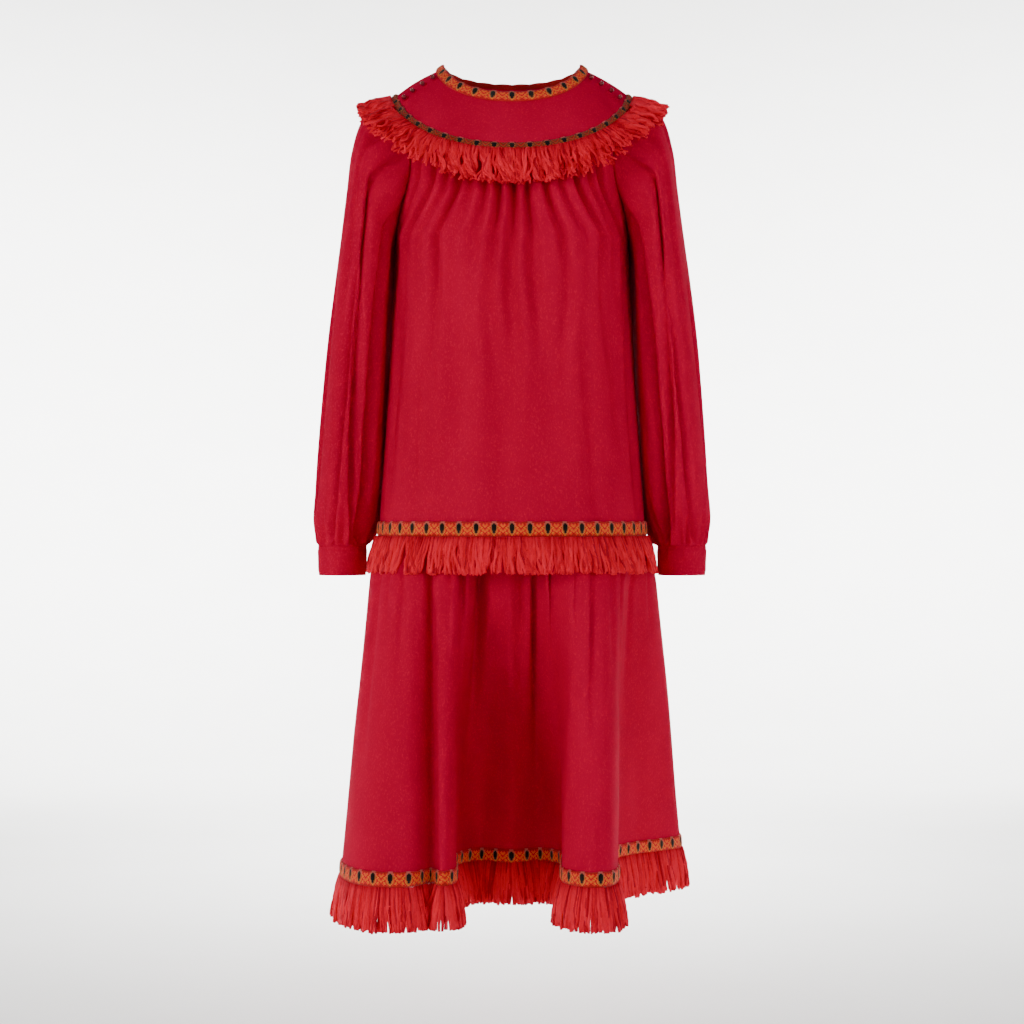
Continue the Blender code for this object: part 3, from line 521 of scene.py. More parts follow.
def sleeve_angles(share):
    """Angles round a sleeve's ring, spread more evenly further down the arm."""
    half_span = HEAD_HALF_SPAN + (ARM_HALF_SPAN - HEAD_HALF_SPAN) * min(1.0, 1.5 * share)
    over = np.linspace(-half_span, half_span, OVER_COLUMNS + 1)
    under = np.linspace(half_span, 360.0 - half_span, UNDER_COLUMNS + 1)
    return np.concatenate([over, under[1:-1]])


def sleeve_grid(side):
    """Outer points of a sleeve, from the armhole to the cuff."""
    shoulder = np.linspace(ARMHOLE_ANGLE, 180.0 - ARMHOLE_ANGLE, OVER_COLUMNS + 1)
    edge_levels = np.interp(np.linspace(0.0, 6.0, UNDER_COLUMNS // 2 + 1), range(7),
                            (0.0, 0.14, 0.32, 0.52, 0.70, 0.86, 1.0))
    edge_rows = [(level, None) for level in edge_levels]
    front = tunic_grid(np.array([-1.0, 1.0]), 0.0, (), edge_rows)[:, 1 if side > 0 else 0]
    back = tunic_grid(np.array([-1.0, 1.0]), 180.0, (), edge_rows)[:, 0 if side > 0 else 1]
    head = np.concatenate([seam_ring(side * shoulder), back[1:], front[1:-1][::-1]])
    knots = [head]
    for number, (out_x, out_z, in_x, in_z, half_depth, centre_y) in enumerate(SLEEVE_SECTIONS):
        share = (number + 1) / len(SLEEVE_SECTIONS)
        angle = sleeve_angles(share)
        turn = np.radians(angle)
        centre = np.array([(out_x + in_x) / 2.0, centre_y, (out_z + in_z) / 2.0])
        to_outer = np.array([(out_x - in_x) / 2.0, 0.0, (out_z - in_z) / 2.0])
        to_back = np.array([0.0, half_depth, 0.0])
        ring = centre + np.outer(np.cos(turn), to_outer) + np.outer(np.sin(turn), to_back)
        for middle, reach, width, first, last in SLEEVE_LAPS:
            away = turned_from(angle, middle)
            ring[:, 0] -= reach * held(share, first, last, 0.26, 0.20) * np.exp(-(away / width) ** 2)
        ring[:, 0] *= side
        knots.append(ring)
    knots = np.array([2.0 * knots[0] - knots[1]] + knots + [2.0 * knots[-1] - knots[-2]])
    grid = []
    for share in np.linspace(0.0, 1.0, SLEEVE_ROWS):
        position = share * (len(knots) - 3)
        k = min(int(position), len(knots) - 4)
        grid.append(spline(*knots[k:k + 4], position - k))
    grid = np.array(grid)
    outward = grid_normals(grid, True) * side
    around = unit(np.roll(grid, -1, axis=1) - np.roll(grid, 1, axis=1))
    seed = 31 if side > 0 else 47
    twist_sign = 1.0 if side > 0 else 0.8
    for row, share in enumerate(np.linspace(0.0, 1.0, SLEEVE_ROWS)):
        angle = sleeve_angles(share)
        drawn = np.zeros(len(angle))
        slid = np.zeros(len(angle))
        for middle, depth, width, start, end, twist in SLEEVE_FOLDS:
            away = turned_from(angle, middle + twist * twist_sign * math.sin(share * 4.0 + middle))
            fold = FOLD_DEPTH * depth * held(share, start, end, 0.18, 0.25)
            fold = fold * np.exp(-(away / (FOLD_NARROWING * width)) ** 2)
            drawn += fold
            slid += FOLD_LEAN * fold * (1.0 if math.sin(5.0 * middle) > 0.0 else -1.0)
        close = 1.0 - smooth_step((share - 0.93) / 0.06)
        drawn *= close
        turn = np.radians(angle)
        over = smooth_step((np.cos(turn) + 0.6) / 0.8)
        head_gather = uneven_wave(turn, 15.0, seed) * smooth_step(share / 0.03) * math.exp(-share / 0.20)
        cuff_gather = uneven_wave(turn, 15.0, seed + 3) * float(held(share, 0.70, 1.0, 0.20, 0.035))
        drawn += HEAD_GATHER_DEPTH * head_gather * over + CUFF_GATHER_DEPTH * cuff_gather
        drawn += 0.0008 * uneven_wave(turn + 2.0 * share, 5.0, seed + 9) * math.sin(math.pi * share)
        grid[row] -= outward[row] * drawn[:, None] - around[row] * (slid * close)[:, None]
    return grid if side > 0 else grid[:, ::-1]


sleeve_outsides = []
upper_cloth = surface_tree(tunic_outsides, False)
for name, side in (("sleeve_left", 1.0), ("sleeve_right", -1.0)):
    grid = sleeve_grid(side)
    under = grid[8:, OVER_COLUMNS:] if side > 0 else grid[8:, :UNDER_COLUMNS]
    hold_off(under.transpose(1, 0, 2), upper_cloth, TUNIC_CLEARANCE)
    sleeve_outsides.append(grid)
    piece = cloth_wall(name + "_cloth", grid, True, crepe, [name])


# The cuffs: narrow straight bands of doubled crepe, with a line of stitching near each edge.
# They take in the sleeve's gathers, so their upper edge puckers a little.
CUFF_CENTRE_X = 0.2220
CUFF_CENTRE_Y = 0.020
CUFF_HALF_WIDTH = 0.0315
CUFF_HALF_DEPTH = 0.033
CUFF_TOP_Z = -0.6165
CUFF_HEIGHT = 0.038
CUFF_STITCH_LINES = (0.10, 0.90)
CUFF_ROLL = 0.0010
STITCH_DEPTH = 0.0005
CUFF_PUCKER = 0.0006

for name, side in (("cuff_left", 1.0), ("cuff_right", -1.0)):
    turn = np.linspace(0.0, math.tau, 120, endpoint=False)
    rows = []
    for level in np.linspace(0.0, 1.0, 34):
        scale = 1.0 - 0.03 * level
        from_edges = [1.0 - math.exp(-(12.0 * edge) ** 2) for edge in (level, 1.0 - level)]
        roll = CUFF_ROLL * from_edges[0] * from_edges[1]
        groove = sum(STITCH_DEPTH * math.exp(-((level - line) / 0.03) ** 2) for line in CUFF_STITCH_LINES)
        ripple = CUFF_PUCKER * uneven_wave(turn, 14.0, 71) * math.exp(-level / 0.4)
        reach = roll - groove + ripple
        x = side * CUFF_CENTRE_X + (CUFF_HALF_WIDTH * scale + reach) * np.sin(turn)
        y = CUFF_CENTRE_Y - (CUFF_HALF_DEPTH * scale + reach) * np.cos(turn)
        rows.append(level_points(x, y, CUFF_TOP_Z - CUFF_HEIGHT * level))
    piece = cloth_wall(name + "_cloth", np.array(rows), True, crepe, [name])


# The lower tier: a front and a back width of crepe, gathered under the tunic's edge.
# Its cloth falls in two large folds at the front, with deep hollows between and beside them.
HEM_Z = -1.031
HEM_BRAID_TOP_Z = -1.013
FRONT_SKIRT_COLUMNS = 290
BACK_SKIRT_COLUMNS = 240
SKIRT_ROWS = 76
SPLINE_STEPS = 24
SKIRT_FLARE = 0.004
CREASE_LEAN = 0.45
CREASE_DEPTH = 0.0016
SKIRT_PUCKER = 0.0014
SKIRT_WAVE = 0.0016
SIDE_SEAM_ROW = 24
SKIRT_FOLDS = (
    # seam angle, hem x, hem y
    (-90, -0.212, -0.035), (-80, -0.216, -0.075), (-70, -0.207, -0.130), (-60, -0.185, -0.172),
    (-50, -0.155, -0.192), (-42, -0.122, -0.188), (-35, -0.101, -0.158), (-28, -0.085, -0.180),
    (-22, -0.070, -0.155), (-17, -0.071, -0.090), (-12, -0.073, -0.010), (-6, -0.044, 0.039),
    (0, -0.002, 0.020), (8, 0.038, 0.041), (14, 0.065, 0.000), (19, 0.063, -0.080),
    (24, 0.064, -0.155), (32, 0.090, -0.190), (41, 0.118, -0.182), (48, 0.131, -0.135),
    (54, 0.129, -0.050), (60, 0.131, 0.040), (68, 0.160, 0.095), (78, 0.198, 0.130),
    (90, 0.226, 0.160), (102, 0.228, 0.195), (114, 0.200, 0.222), (126, 0.160, 0.215),
    (136, 0.128, 0.165), (144, 0.105, 0.125), (152, 0.085, 0.160), (162, 0.055, 0.215),
    (172, 0.018, 0.228), (182, -0.015, 0.200), (190, -0.030, 0.140), (198, -0.048, 0.120),
    (206, -0.066, 0.155), (216, -0.095, 0.212), (226, -0.130, 0.222), (236, -0.160, 0.190),
    (244, -0.165, 0.130), (252, -0.168, 0.085), (260, -0.190, 0.060), (266, -0.207, 0.018),
)
SKIRT_CREASES = (
    # seam angle, depth in mm, width in degrees, end level
    (-78, 5, 3.2, 0.45), (-64.5, 7, 3.4, 0.62), (-55, 3, 2.4, 0.30), (-46.8, 5, 3, 0.40),
    (-33.5, 10, 3, 0.95), (-25, 4, 2.2, 0.30), (-18, 6, 2.6, 0.35), (-9.9, 12, 3.2, 0.75),
    (2, 6, 2.4, 0.45), (9.5, 12, 3, 0.75), (15.1, 7, 2.2, 0.40), (26, 4, 2.6, 0.30),
    (34, 7, 2.8, 0.55), (43, 4, 2.6, 0.35), (52, 8, 3, 0.60), (64, 6, 3, 0.50),
    (78, 5, 3.2, 0.40), (98, 6, 3.2, 0.50), (112, 5, 3, 0.40), (124, 7, 3, 0.55),
    (137, 9, 3.2, 0.80), (149, 6, 2.8, 0.45), (160, 5, 2.8, 0.35), (171, 7, 3, 0.60),
    (184, 5, 2.6, 0.40), (196, 10, 3.2, 0.80), (208, 6, 2.8, 0.45), (220, 5, 3, 0.35),
    (232, 7, 3, 0.55), (247, 9, 3.2, 0.75), (259, 5, 3, 0.40),
)
SKIRT_SWELLS = (
    # seam angle, swell in mm, width in degrees
    (-72, 3, 10), (-50, 6, 14), (-22, 4, 7), (-2, -9, 11), (24, 6, 8),
    (38, 4, 8), (64, -8, 11), (96, 4, 14), (124, 5, 10), (143, -7, 9),
    (170, 6, 12), (196, -8, 10), (222, 5, 11), (249, -6, 10),
)


def skirt_outline():
    """Seam angle and hem place along the lower tier's folds, on a smooth closed curve."""
    table = np.array(SKIRT_FOLDS, dtype=float)
    lap = np.array([360.0, 0.0, 0.0])
    knots = np.concatenate([table[-1:] - lap, table, table[:2] + lap])
    curve = [spline(*knots[row:row + 4], step / SPLINE_STEPS)
             for row in range(len(table)) for step in range(SPLINE_STEPS)]
    return np.array(curve + [table[0] + lap])


def even_columns(stretch, count):
    """Places along a stretch of the curve, an equal length of hem apart."""
    lengths = np.linalg.norm(np.diff(stretch[:, 1:], axis=0), axis=1)
    lengths = lengths + 0.3 * np.radians(np.abs(np.diff(stretch[:, 0]))) * SEAM_HALF_WIDTH
    walked = np.concatenate([[0.0], np.cumsum(lengths)])
    marks = np.linspace(0.0, walked[-1], count + 1)
    return read_off(marks, walked, stretch)


def skirt_level_z(level):
    """Height of a level of the lower tier."""
    return TUNIC_HEM_Z - 0.0003 + (HEM_Z - TUNIC_HEM_Z + 0.0003) * level


def skirt_row(columns, level):
    """Outer points of the lower tier, from 0 at its seam to 1 at its hem."""
    angle = columns[:, 0]
    x, y = tunic_oval(angle, TUNIC_HEM_Z)
    share = smooth_step(level / 0.05) * level
    turn = np.radians(angle)
    out = np.full(len(angle), SKIRT_FLARE * float(smooth_step(level / 0.09)) * (1.0 - level) + 0.0015)
    slid = np.zeros(len(angle))
    for middle, depth, width, end in SKIRT_CREASES:
        away = turned_from(angle, middle)
        open_out = 0.50 * width * (1.0 + level)
        at_side = 0.35 + 0.65 * math.cos(math.radians(middle)) ** 2
        crease = CREASE_DEPTH * depth * at_side * float(held(level, 0.015, 1.35 * end, 0.06, end))
        crease = crease * np.exp(-(away / open_out) ** 2)
        out = out - crease
        slid = slid + CREASE_LEAN * crease * (1.0 if math.sin(7.0 * middle) > 0.0 else -1.0)
    hang = float(held(level, 0.0, 0.95, 0.16, 0.5))
    for middle, swell, width in SKIRT_SWELLS:
        away = turned_from(angle, middle)
        out = out + 0.001 * swell * hang * np.exp(-(away / width) ** 2)
    pucker = uneven_wave(turn, 44.0, 83) * float(smooth_step(level / 0.03)) * math.exp(-level / 0.10)
    out = out + SKIRT_PUCKER * pucker * (0.3 + 0.7 * np.cos(turn) ** 2)
    out = out + SKIRT_WAVE * uneven_wave(turn + 0.5 * level, 11.0, 91) * level * (1.0 - 0.5 * level)
    x = x + (columns[:, 1] - x) * share + np.sin(turn) * out + np.cos(turn) * slid
    y = y + (columns[:, 2] - y) * share - np.cos(turn) * out + np.sin(turn) * slid
    return level_points(x, y, skirt_level_z(level))


outline = skirt_outline()
split = SIDE_SEAM_ROW * SPLINE_STEPS
front_columns = even_columns(outline[:split + 1], FRONT_SKIRT_COLUMNS)
back_columns = even_columns(outline[split:], BACK_SKIRT_COLUMNS)
skirt_columns = np.concatenate([front_columns[:-1], back_columns[:-1]])
skirt_grid = np.array([skirt_row(skirt_columns, level) for level in np.linspace(0.0, 1.0, SKIRT_ROWS)])
skirt_out = grid_normals(skirt_grid, True)
total = len(skirt_columns)
for name, span in (
    ("skirt_front", list(range(FRONT_SKIRT_COLUMNS + 1))),
    ("skirt_back", [i % total for i in range(FRONT_SKIRT_COLUMNS, total + 1)]),
):
    piece = cloth_wall(name + "_cloth", skirt_grid[:, span], False, crepe, [name],
                       skirt_out[:, span])


# The braids: knitted bands sewn on flat at the neck, the yoke seam, the tunic's edge and the hem.
# Three share one small repeat, a dark drop under a pale loop between orange crosses.
# The yoke's is narrower, in browner yarns.
BRAID_REPEAT = (
    "rrrrrrpppprrrrrr",
    "rarrapskksparrar",
    "agarapkkkkparaga",
    "garagskkkksgarag",
    "arggrskkkksrggra",
    "raagaskkkksagaar",
    "aggragkkkkgargga",
    "gaaragskksgaraag",
    "arggrgskksgrggra",
    "raagargssgragaar",
    "rrarrarggrarrarr",
    "rrrrrrrrrrrrrrrr",
)
YOKE_REPEAT = (
    "bobrbbppppbbrbob",
    "obrobskkkksborbo",
    "brobokkkkkkoborb",
    "robboskkkksobbor",
    "obrobokkkkoborbo",
    "brobboskksobborb",
    "rbobrbbssbbrbobr",
)
BRAID_YARNS = {
    "r": "C4141C", "p": "D05A50", "k": "050102",
    "g": "F07428", "a": "F83818", "s": "B86034", "b": "7A2018", "o": "9A4A20",
}
BRAID_RAISED = {"k": 0.0011, "p": 0.0009, "s": 0.0005, "a": 0.0003, "g": 0.0004, "o": 0.0005}
NECK_BRAID_RISE = 0.0065
TUNIC_BRAID_TOP_Z = -0.5844
BRAID_THICK = 0.0014
SCALLOP_HEIGHT = 0.0010
STITCH_COLUMNS = len(BRAID_REPEAT[0])


def knitted_braid():
    """Knitted braid: dyed yarn in small V-shaped stitches, matt, with painted shade in the grooves
    between the stitches and painted highlight on their raised legs.
    """
    material, tree, _ = new_material("knitted_wool_braid")
    yarn = add_node(tree, "ShaderNodeVertexColor", layer_name="yarn").outputs["Color"]
    stitch = add_node(tree, "ShaderNodeUVMap", uv_map="stitches").outputs[0]
    axes = add_node(tree, "ShaderNodeSeparateXYZ", {0: stitch}).outputs
    column = maths(tree, "WRAP", axes[0], 1.0, 0.0)
    spread = maths(tree, "ABSOLUTE", maths(tree, "SUBTRACT", column, 0.5))
    leg = maths(tree, "MULTIPLY", maths(tree, "SUBTRACT", axes[1], spread), math.tau)
    rib = maths(tree, "SINE", maths(tree, "MULTIPLY", spread, math.tau))
    height = maths(tree, "ADD", maths(tree, "COSINE", leg), rib)
    bump = add_node(tree, "ShaderNodeBump", {"Height": height, "Strength": 0.6, "Distance": 0.0005})
    # The yarn's colour is darkened in the grooves of the stitch relief and lightened on its raised legs:
    # painted shade and painted highlight.
    groove = remap(tree, height, 0.72, 1.32, -1.0, 1.0)
    tone = add_node(tree, "ShaderNodeVectorMath", {0: yarn, "Scale": groove}, operation="SCALE")
    finish_surface(tree, {
        "Base Color": tone.outputs[0], "Normal": bump.outputs[0], "Roughness": 0.88,
        "Specular IOR Level": 0.25, "Sheen Weight": 0.08, "Sheen Roughness": 0.5})
    return material


braid_yarn = knitted_braid()


def walk(points, count, closed=True):
    """Points an equal length apart along a line."""
    line = np.concatenate([points, points[:1]]) if closed else points
    walked = np.concatenate([[0.0], np.cumsum(np.linalg.norm(np.diff(line, axis=0), axis=1))])
    marks = np.linspace(0.0, walked[-1], count, endpoint=not closed)
    return marks, walked, read_off(marks, walked, line)


def braid_band(name, high, low, normals, repeat_mm, nodes, chart=BRAID_REPEAT):
    """A knitted band over a ring of cloth, between its high and its low edge."""
    middle = (high + low) / 2.0
    length = walk(middle, 1)[1][-1]
    repeats = round(1000.0 * length / repeat_mm)
    columns = repeats * STITCH_COLUMNS
    marks, walked, _ = walk(middle, columns)
    top, bottom, out = (read_off(marks, walked, np.concatenate([r, r[:1]])) for r in (high, low, normals))
    out = unit(out)
    stitch_rows = len(chart)
    raised = np.array([[BRAID_RAISED.get(cell, 0.0) for cell in row] for row in chart])
    raised = np.tile(raised, (1, repeats))
    soft = (raised + np.roll(raised, 1, axis=1)) / 2.0
    heights = np.zeros((stitch_rows + 1, columns))
    heights[:-1] += soft / 2.0
    heights[1:] += soft / 2.0
    scallop = SCALLOP_HEIGHT * np.abs(np.sin(np.arange(columns) * math.pi / STITCH_COLUMNS))
    outer = []
    for row in range(stitch_rows + 1):
        t = row / stitch_rows
        crown = BRAID_THICK * (1.0 - (2.0 * t - 1.0) ** 6) + 0.0004
        point = top + (bottom - top) * t + out * (crown + heights[row])[:, None]
        if row == 0:
            point = point + unit(top - bottom) * scallop[:, None]
        outer.append(point)
    outer = np.array(outer)
    inner = np.array([top + out * 0.0003, bottom + out * 0.0003])
    count = outer.shape[0] * columns
    faces = grid_faces(stitch_rows + 1, columns, True)
    faces += grid_faces(2, columns, True, count, True)
    low_row = stitch_rows * columns
    for c in range(columns):
        n = (c + 1) % columns
        faces.append((c, n, count + n, count + c))
        faces.append((low_row + n, low_row + c, count + columns + c, count + columns + n))
    vertices = np.concatenate([outer.reshape(-1, 3), inner.reshape(-1, 3)])
    piece = new_piece(name, vertices, faces, braid_yarn, nodes)
    mesh = piece.data
    yarns = {key: linear(value) for key, value in BRAID_YARNS.items()}
    shades = np.tile(yarns["r"], (len(mesh.loops), 1))
    cells = np.zeros((len(mesh.loops), 2))
    for number in range(stitch_rows * columns):
        row, column = divmod(number, columns)
        loops = list(mesh.polygons[number].loop_indices)
        shades[loops] = yarns[chart[row][column % STITCH_COLUMNS]]
        cells[loops] = [(column, row), (column, row + 1), (column + 1, row + 1), (column + 1, row)]
    mesh.color_attributes.new("yarn", "FLOAT_COLOR", "CORNER").data.foreach_set("color", shades.ravel())
    mesh.uv_layers.new(name="stitches").data.foreach_set("uv", cells.ravel())
    return piece


ring_angles = np.linspace(-180.0, 180.0, 720, endpoint=False)
rise = unit(neck_ring(ring_angles) - seam_ring(ring_angles)) + np.array([0.0, 0.0, 0.7])
neck_high = neck_ring(ring_angles) + unit(rise) * NECK_BRAID_RISE
neck_low = yoke_point(ring_angles, 0.10)
ring_out = seam_normal(ring_angles)
braid_band("neck_braid_knit", neck_high, neck_low, ring_out, 24.0, ["neck_braid"])
braid_band("yoke_braid_knit", yoke_point(ring_angles, 0.865), yoke_point(ring_angles, 0.985), ring_out,
           22.0, ["yoke_braid"], YOKE_REPEAT)
tunic_edges = []
for z in (TUNIC_BRAID_TOP_Z, TUNIC_HEM_Z + 0.003):
    tunic_edges.append(level_points(*tunic_oval(ring_angles, z), z))
turn = np.radians(ring_angles)
level_out = level_points(np.sin(turn), -np.cos(turn), 0.0)
braid_band("tunic_braid_knit", tunic_edges[0], tunic_edges[1], level_out, 22.0, ["tunic_braid"])
braid_level = (HEM_BRAID_TOP_Z - skirt_level_z(0.0)) / (HEM_Z - skirt_level_z(0.0))
hem_pair = np.array([skirt_row(skirt_columns, braid_level), skirt_row(skirt_columns, 1.0)])
hem_out = grid_normals(hem_pair, True)[1]
braid_band("hem_braid_knit", hem_pair[0], hem_pair[1], hem_out, 22.0, ["hem_braid"])


# The fringes: soft two-ply wool, cut and left to curl, hanging from a woven heading behind each braid.
# The yarns cling together in uneven clumps, and those on the shoulders spring out sideways.
FRINGE_CORAL = "EE0830"
FRINGE_LIGHT = "FF2240"
FRINGE_DEEP = "98001A"
STRAND_SIDES = 4


def curled_wool():
    """Curled wool yarn: bright coral red, fuzzy, each strand a little lighter or deeper."""
    material, tree, place = new_material("curled_coral_wool")
    tone = add_node(tree, "ShaderNodeVertexColor", layer_name="strand").outputs["Color"]
    stretch = add_node(tree, "ShaderNodeMapping", {"Vector": place, "Scale": (1.0, 1.0, 0.35)})
    ply = noise(tree, stretch.outputs[0], 900.0, 2.0)
    bump = add_node(tree, "ShaderNodeBump", {"Height": ply, "Strength": 0.5, "Distance": 0.0004})
    streak = remap(tree, ply, 0.84, 1.36)
    colour = add_node(tree, "ShaderNodeVectorMath", {0: tone, "Scale": streak}, operation="SCALE")
    finish_surface(tree, {
        "Base Color": colour.outputs[0], "Normal": bump.outputs[0], "Roughness": 0.72,
        "Specular IOR Level": 0.15, "Sheen Weight": 0.12, "Sheen Roughness": 0.4,
        "Sheen Tint": linear("FF2A3C")})
    return material


fringe_wool = curled_wool()


def strand_paths(roots, outward, lean, length, clump, wander, curls, thickness, seed, steps=10):
    """Centre lines of strands that hang from their roots, in clumps that lean against each other."""
    draw = random.Random(seed)
    count = len(roots)
    paths, tones, sizes = [], [], []
    number = 0
    while number < count:
        size = draw.randint(*clump)
        group = range(number, min(count, number + size))
        number += size
        sway = draw.uniform(-wander, wander)
        stand = draw.uniform(0.0, 0.007)
        group_length = length * draw.uniform(0.97, 1.03)
        centre = roots[group.start:group.stop].mean(axis=0)
        for i in group:
            along = unit(np.cross(outward[i], lean[i]))
            reach = group_length * draw.uniform(0.95, 1.02)
            gathered = (centre - roots[i]) * draw.uniform(-0.20, 0.16)
            phase = draw.uniform(0.0, 6.28)
            beat = draw.uniform(1.0, 2.2)
            curl = draw.uniform(*curls)
            own = draw.uniform(-0.6, 0.6) * wander
            layer = draw.uniform(-0.0004, 0.0030)
            path = []
            for t in np.linspace(0.0, 1.0, steps + 1):
                wave = t ** 0.7 * curl
                spin = phase + beat * 6.28 * t
                point = roots[i] + lean[i] * reach * t + gathered * smooth_step(t)
                point = point + along * ((sway + own) * t ** 1.4 + wave * math.sin(spin))
                bow = layer * math.sin(math.pi * min(1.0, 0.2 + 0.8 * t)) + stand * t
                point = point + outward[i] * (bow + wave * math.cos(spin))
                path.append(point)
            paths.append(path)
            tones.append(draw.uniform(0.0, 1.0))
            sizes.append(thickness * draw.uniform(0.85, 1.15))
    return paths, tones, sizes


def make_strands(name, paths, tones, sizes, nodes):
    """All the strands of a fringe as one mesh of tapered tubes, with painted shade near their roots."""
    vertices, faces, shades = [], [], []
    deep, coral, light = (np.array(linear(c)) for c in (FRINGE_DEEP, FRINGE_CORAL, FRINGE_LIGHT))
    for path, tone, size in zip(paths, tones, sizes):
        points = np.array(path)
        tangent = unit(np.gradient(points, axis=0))
        first = unit(np.cross(tangent, np.array([0.31, 0.95, 0.12])))
        second = np.cross(tangent, first)
        faces += tube_faces(len(points), STRAND_SIDES, len(vertices))
        colour = coral + (light - coral) * max(0.0, 2.0 * tone - 1.0)
        colour = colour + (deep - coral) * max(0.0, 0.7 - 2.0 * tone)
        for k in range(len(points)):
            t = k / (len(points) - 1)
            radius = size * (0.80 + 0.25 * min(1.0, 2.5 * t)) * (1.0 - 0.25 * t ** 8)
            for s in range(STRAND_SIDES):
                spin = math.tau * s / STRAND_SIDES
                spoke = first[k] * math.cos(spin) + second[k] * math.sin(spin)
                vertices.append(points[k] + spoke * radius)
                # Each strand's colour is darker near its root: painted shade where the strands crowd
                # under the braid.
                shades.append(colour * (0.82 + 0.18 * min(1.0, 2.5 * t)))
    piece = new_piece(name, vertices, faces, fringe_wool, nodes)
    shades = np.array(shades)
    shades[:, 3] = 1.0
    layer = piece.data.color_attributes.new("strand", "FLOAT_COLOR", "POINT")
    layer.data.foreach_set("color", shades.ravel())
    return piece


# The yoke's fringe hangs straight at the front and back and stands out over the sleeve heads.
YOKE_STRANDS = 1050
YOKE_FRINGE_LENGTH = 0.046
seam_line = yoke_point(ring_angles, 0.97)
marks, walked, _ = walk(seam_line, YOKE_STRANDS)
strand_angles = np.interp(marks, walked, np.append(ring_angles, 180.0))
roots = yoke_point(strand_angles, 0.97) + seam_normal(strand_angles) * 0.0020
side = np.abs(np.sin(np.radians(strand_angles)))
flat_out = unit(seam_normal(strand_angles) * np.array([1.0, 1.0, 0.0]))
droop = np.radians(80.0 - 56.0 * smooth_step((side - 0.35) / 0.55))[:, None]
lean = flat_out * np.cos(droop) - np.array([0.0, 0.0, 1.0]) * np.sin(droop)
sleeve_cloth = [surface_tree([grid], True) for grid in sleeve_outsides]
paths, tones, sizes = strand_paths(
    roots, seam_normal(strand_angles), lean, YOKE_FRINGE_LENGTH, clump=(4, 12), wander=0.013,
    curls=(0.0012, 0.0036), thickness=0.0016, seed=101)
for tree in [upper_cloth] + sleeve_cloth:
    hold_off(paths, tree, clearance=0.0022)
make_strands("yoke_fringe_strands", paths, tones, sizes, ["yoke_fringe"])

# The tunic's fringe hides the seam of the lower tier.
TUNIC_STRANDS = 1200
TUNIC_FRINGE_LENGTH = 0.047
edge = level_points(*tunic_oval(ring_angles, TUNIC_HEM_Z), TUNIC_HEM_Z + 0.003)
marks, walked, roots = walk(edge, TUNIC_STRANDS)
turn = np.interp(marks, walked, np.append(np.radians(ring_angles), math.pi))
outward = level_points(np.sin(turn), -np.cos(turn), 0.0)
beside_cuff = np.exp(-((roots[:, 1] - CUFF_CENTRE_Y) / 0.06) ** 4)[:, None]
lean = unit(outward * (0.22 - 0.14 * beside_cuff) - np.array([0.0, 0.0, 1.0]))
paths, tones, sizes = strand_paths(
    roots + outward * 0.0020, outward, lean, TUNIC_FRINGE_LENGTH, clump=(3, 9), wander=0.008,
    curls=(0.0008, 0.0022), thickness=0.0016, seed=202, steps=8)
hold_off(paths, surface_tree([skirt_grid], True), clearance=0.0018)
make_strands("tunic_fringe_strands", paths, tones, sizes, ["tunic_fringe"])

# The hem's fringe hangs free below the braid.
HEM_STRANDS = 2750
HEM_FRINGE_LENGTH = 0.054
hem_line = skirt_grid[-1] - skirt_out[-1] * 0.0006
marks, walked, roots = walk(hem_line, HEM_STRANDS)
level = unit(skirt_out[-1] * np.array([1.0, 1.0, 0.0]))
outward = unit(read_off(marks, walked, np.concatenate([level, level[:1]])))
lean = unit(outward * 0.11 - np.array([0.0, 0.0, 1.0]))
paths, tones, sizes = strand_paths(
    roots, outward, lean, HEM_FRINGE_LENGTH, clump=(3, 8), wander=0.0022,
    curls=(0.0004, 0.0014), thickness=0.0019, seed=303, steps=7)
make_strands("hem_fringe_strands", paths, tones, sizes, ["hem_fringe"])


# The buttons: small glossy balls of dark red, sewn down the front of each shoulder on a short shank.
# Each passes through a loop of crimson cord.
BUTTON_PLACES = (0.18, 0.38, 0.58, 0.76)
BUTTON_ANGLE = 74.0
BALL_SIDES = 28
LOOP_HALF_LENGTH = 0.0042
LOOP_HALF_WIDTH = 0.0046
CORD_SIDES = 8
CORD_RADIUS = 0.0007
BUTTON_PROFILE = (
    # radius, height above the cloth, both in mm
    (1.3, 0.2), (1.1, 0.9), (1.5, 1.2), (2.3, 1.6), (2.9, 2.5), (3.05, 3.4),
    (2.8, 4.4), (2.1, 5.4), (1.1, 6.0), (0.1, 6.2),
)


def polished_ball():
    """Polished casein: deep red, with a sharp small highlight."""
    material, tree, place = new_material("polished_dark_red_casein")
    cloud = noise(tree, place, 260.0, 2.0)
    finish_surface(tree, {
        "Base Color": blend(tree, cloud, linear("5A0410"), linear("8E0A1C")),
        "Roughness": 0.16, "IOR": 1.54, "Coat Weight": 0.4, "Coat Roughness": 0.08})
    return material


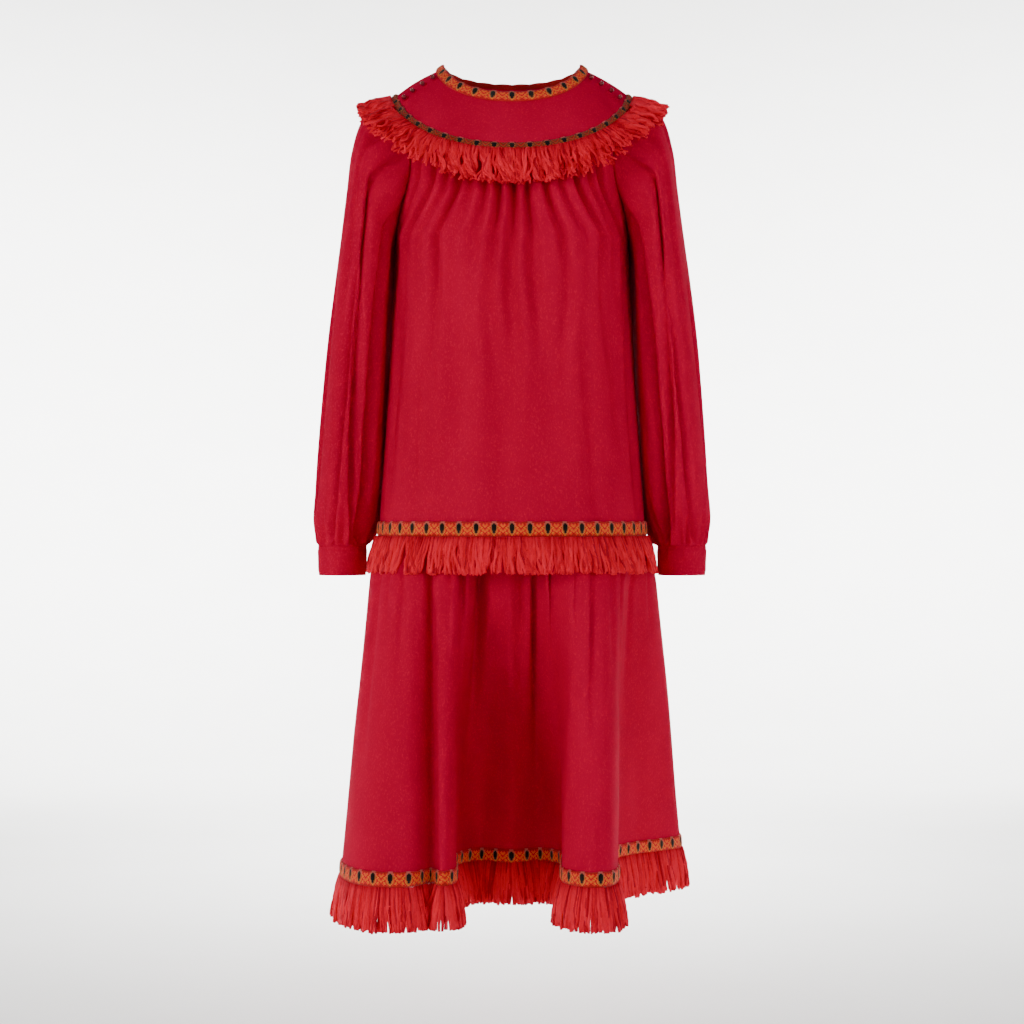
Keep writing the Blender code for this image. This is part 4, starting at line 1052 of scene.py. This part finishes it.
ball_finish = polished_ball()
for side, word in ((1.0, "left"), (-1.0, "right")):
    for number, level in enumerate(BUTTON_PLACES, start=1):
        angle = np.array([side * BUTTON_ANGLE])
        seat = yoke_point(angle, level)[0]
        down = yoke_point(angle, level + 0.1)[0] - yoke_point(angle, level - 0.1)[0]
        along = unit(yoke_point(angle + 2.0, level)[0] - yoke_point(angle - 2.0, level)[0])
        up = unit(np.cross(down, along))
        across = np.cross(up, along)
        vertices = []
        for radius, height in BUTTON_PROFILE:
            for s in np.linspace(0.0, math.tau, BALL_SIDES, endpoint=False):
                spoke = along * math.cos(s) + across * math.sin(s)
                vertices.append(seat + up * height * 0.001 + spoke * radius * 0.001)
        new_piece(f"ball_button_{word}_{number}", vertices, tube_faces(len(BUTTON_PROFILE), BALL_SIDES),
                  ball_finish, [f"button_{word}_{number}"])
        cord_points = []
        for s in np.linspace(-0.5, 3.64, 18):
            loop = along * math.cos(s) * LOOP_HALF_LENGTH + across * math.sin(s) * LOOP_HALF_WIDTH
            cord_points.append(seat + loop + up * 0.0010)
        cord_points = np.array(cord_points)
        tangent = unit(np.gradient(cord_points, axis=0))
        second = np.cross(tangent, up)
        cord_vertices = []
        for k, point in enumerate(cord_points):
            for turn in np.linspace(0.0, math.tau, CORD_SIDES, endpoint=False):
                spoke = up * math.cos(turn) + second[k] * math.sin(turn)
                cord_vertices.append(point + spoke * CORD_RADIUS)
        new_piece(f"button_loop_{word}_{number}", cord_vertices, tube_faces(len(cord_points), CORD_SIDES),
                  crepe, [])


# The studio: a round sweep of white paper, so that the dress stands before it from every side.
# Two lamps and a softer one above light the dress, and three more light the paper behind it.
FLOOR_Z = -1.30
SWEEP_RADIUS = 5.0
SWEEP_CURVE = 1.4
SWEEP_SIDES = 64
sweep_profile = [(0.02, FLOOR_Z), (SWEEP_RADIUS - SWEEP_CURVE, FLOOR_Z)]
for rise in np.linspace(0.1, math.pi / 2.0, 14):
    sweep_profile.append((SWEEP_RADIUS - SWEEP_CURVE * (1.0 - math.sin(rise)),
                          FLOOR_Z + SWEEP_CURVE * (1.0 - math.cos(rise))))
sweep_profile.append((SWEEP_RADIUS, 3.4))
sweep_turns = np.linspace(0.0, math.tau, SWEEP_SIDES, endpoint=False)
sweep_vertices = [(r * math.cos(a), r * math.sin(a), z) for r, z in sweep_profile for a in sweep_turns]
sweep_faces = grid_faces(len(sweep_profile), SWEEP_SIDES, True)
sweep_faces.append(tuple(range(SWEEP_SIDES)))
sweep_mesh = bpy.data.meshes.new("paper_sweep")
sweep_mesh.from_pydata(sweep_vertices, [], sweep_faces)
sweep_mesh.shade_smooth()
paper, tree, _ = new_material("matt_white_paper")
fibre = add_node(tree, "ShaderNodeTexNoise", {"Scale": 40.0, "Detail": 2.0}).outputs["Fac"]
finish_surface(tree, {
    "Base Color": blend(tree, fibre, linear("F4F3F1"), linear("FAFAF9")), "Roughness": 0.95})
sweep_mesh.materials.append(paper)
sweep = bpy.data.objects.new("paper_sweep", sweep_mesh)
bpy.context.scene.collection.objects.link(sweep)

world = bpy.data.worlds.new("studio")
world.use_nodes = True
world.node_tree.nodes["Background"].inputs[0].default_value = (1.0, 1.0, 1.0, 1.0)
world.node_tree.nodes["Background"].inputs[1].default_value = 0.01
bpy.context.scene.world = world
STUDIO_LIGHTS = (
    # name, place, aim, size, spread in degrees, watts
    ("left_box", (-2.4, -2.3, 0.0), (0.0, 0.0, -0.5), 1.0, 180.0, 32.0),
    ("right_box", (2.3, -2.6, 0.5), (0.2, 0.0, -0.2), 0.8, 50.0, 1.8),
    ("top_box", (0.0, -1.8, 2.0), (0.0, 0.0, -0.4), 1.2, 180.0, 4.0),
    ("paper_left", (-2.6, 2.0, 1.2), (-0.9, 5.0, -0.6), 1.4, 80.0, 170.0),
    ("paper_floor", (0.0, 2.6, 1.8), (0.0, 1.9, -1.3), 1.0, 80.0, 90.0),
    ("paper_right", (2.6, 2.0, 1.2), (0.9, 5.0, -0.6), 1.4, 80.0, 170.0),
)
for name, place, aim, size, spread, watts in STUDIO_LIGHTS:
    light = bpy.data.lights.new(name, "AREA")
    light.spread = math.radians(spread)
    light.size = size
    light.energy = watts
    lamp = bpy.data.objects.new(name, light)
    lamp.location = place
    direction = np.array(aim) - np.array(place)
    lamp.rotation_euler = (
        math.atan2(math.hypot(direction[0], direction[1]), -direction[2]),
        0.0,
        math.atan2(direction[0], -direction[1]) + math.pi,
    )
    bpy.context.scene.collection.objects.link(lamp)
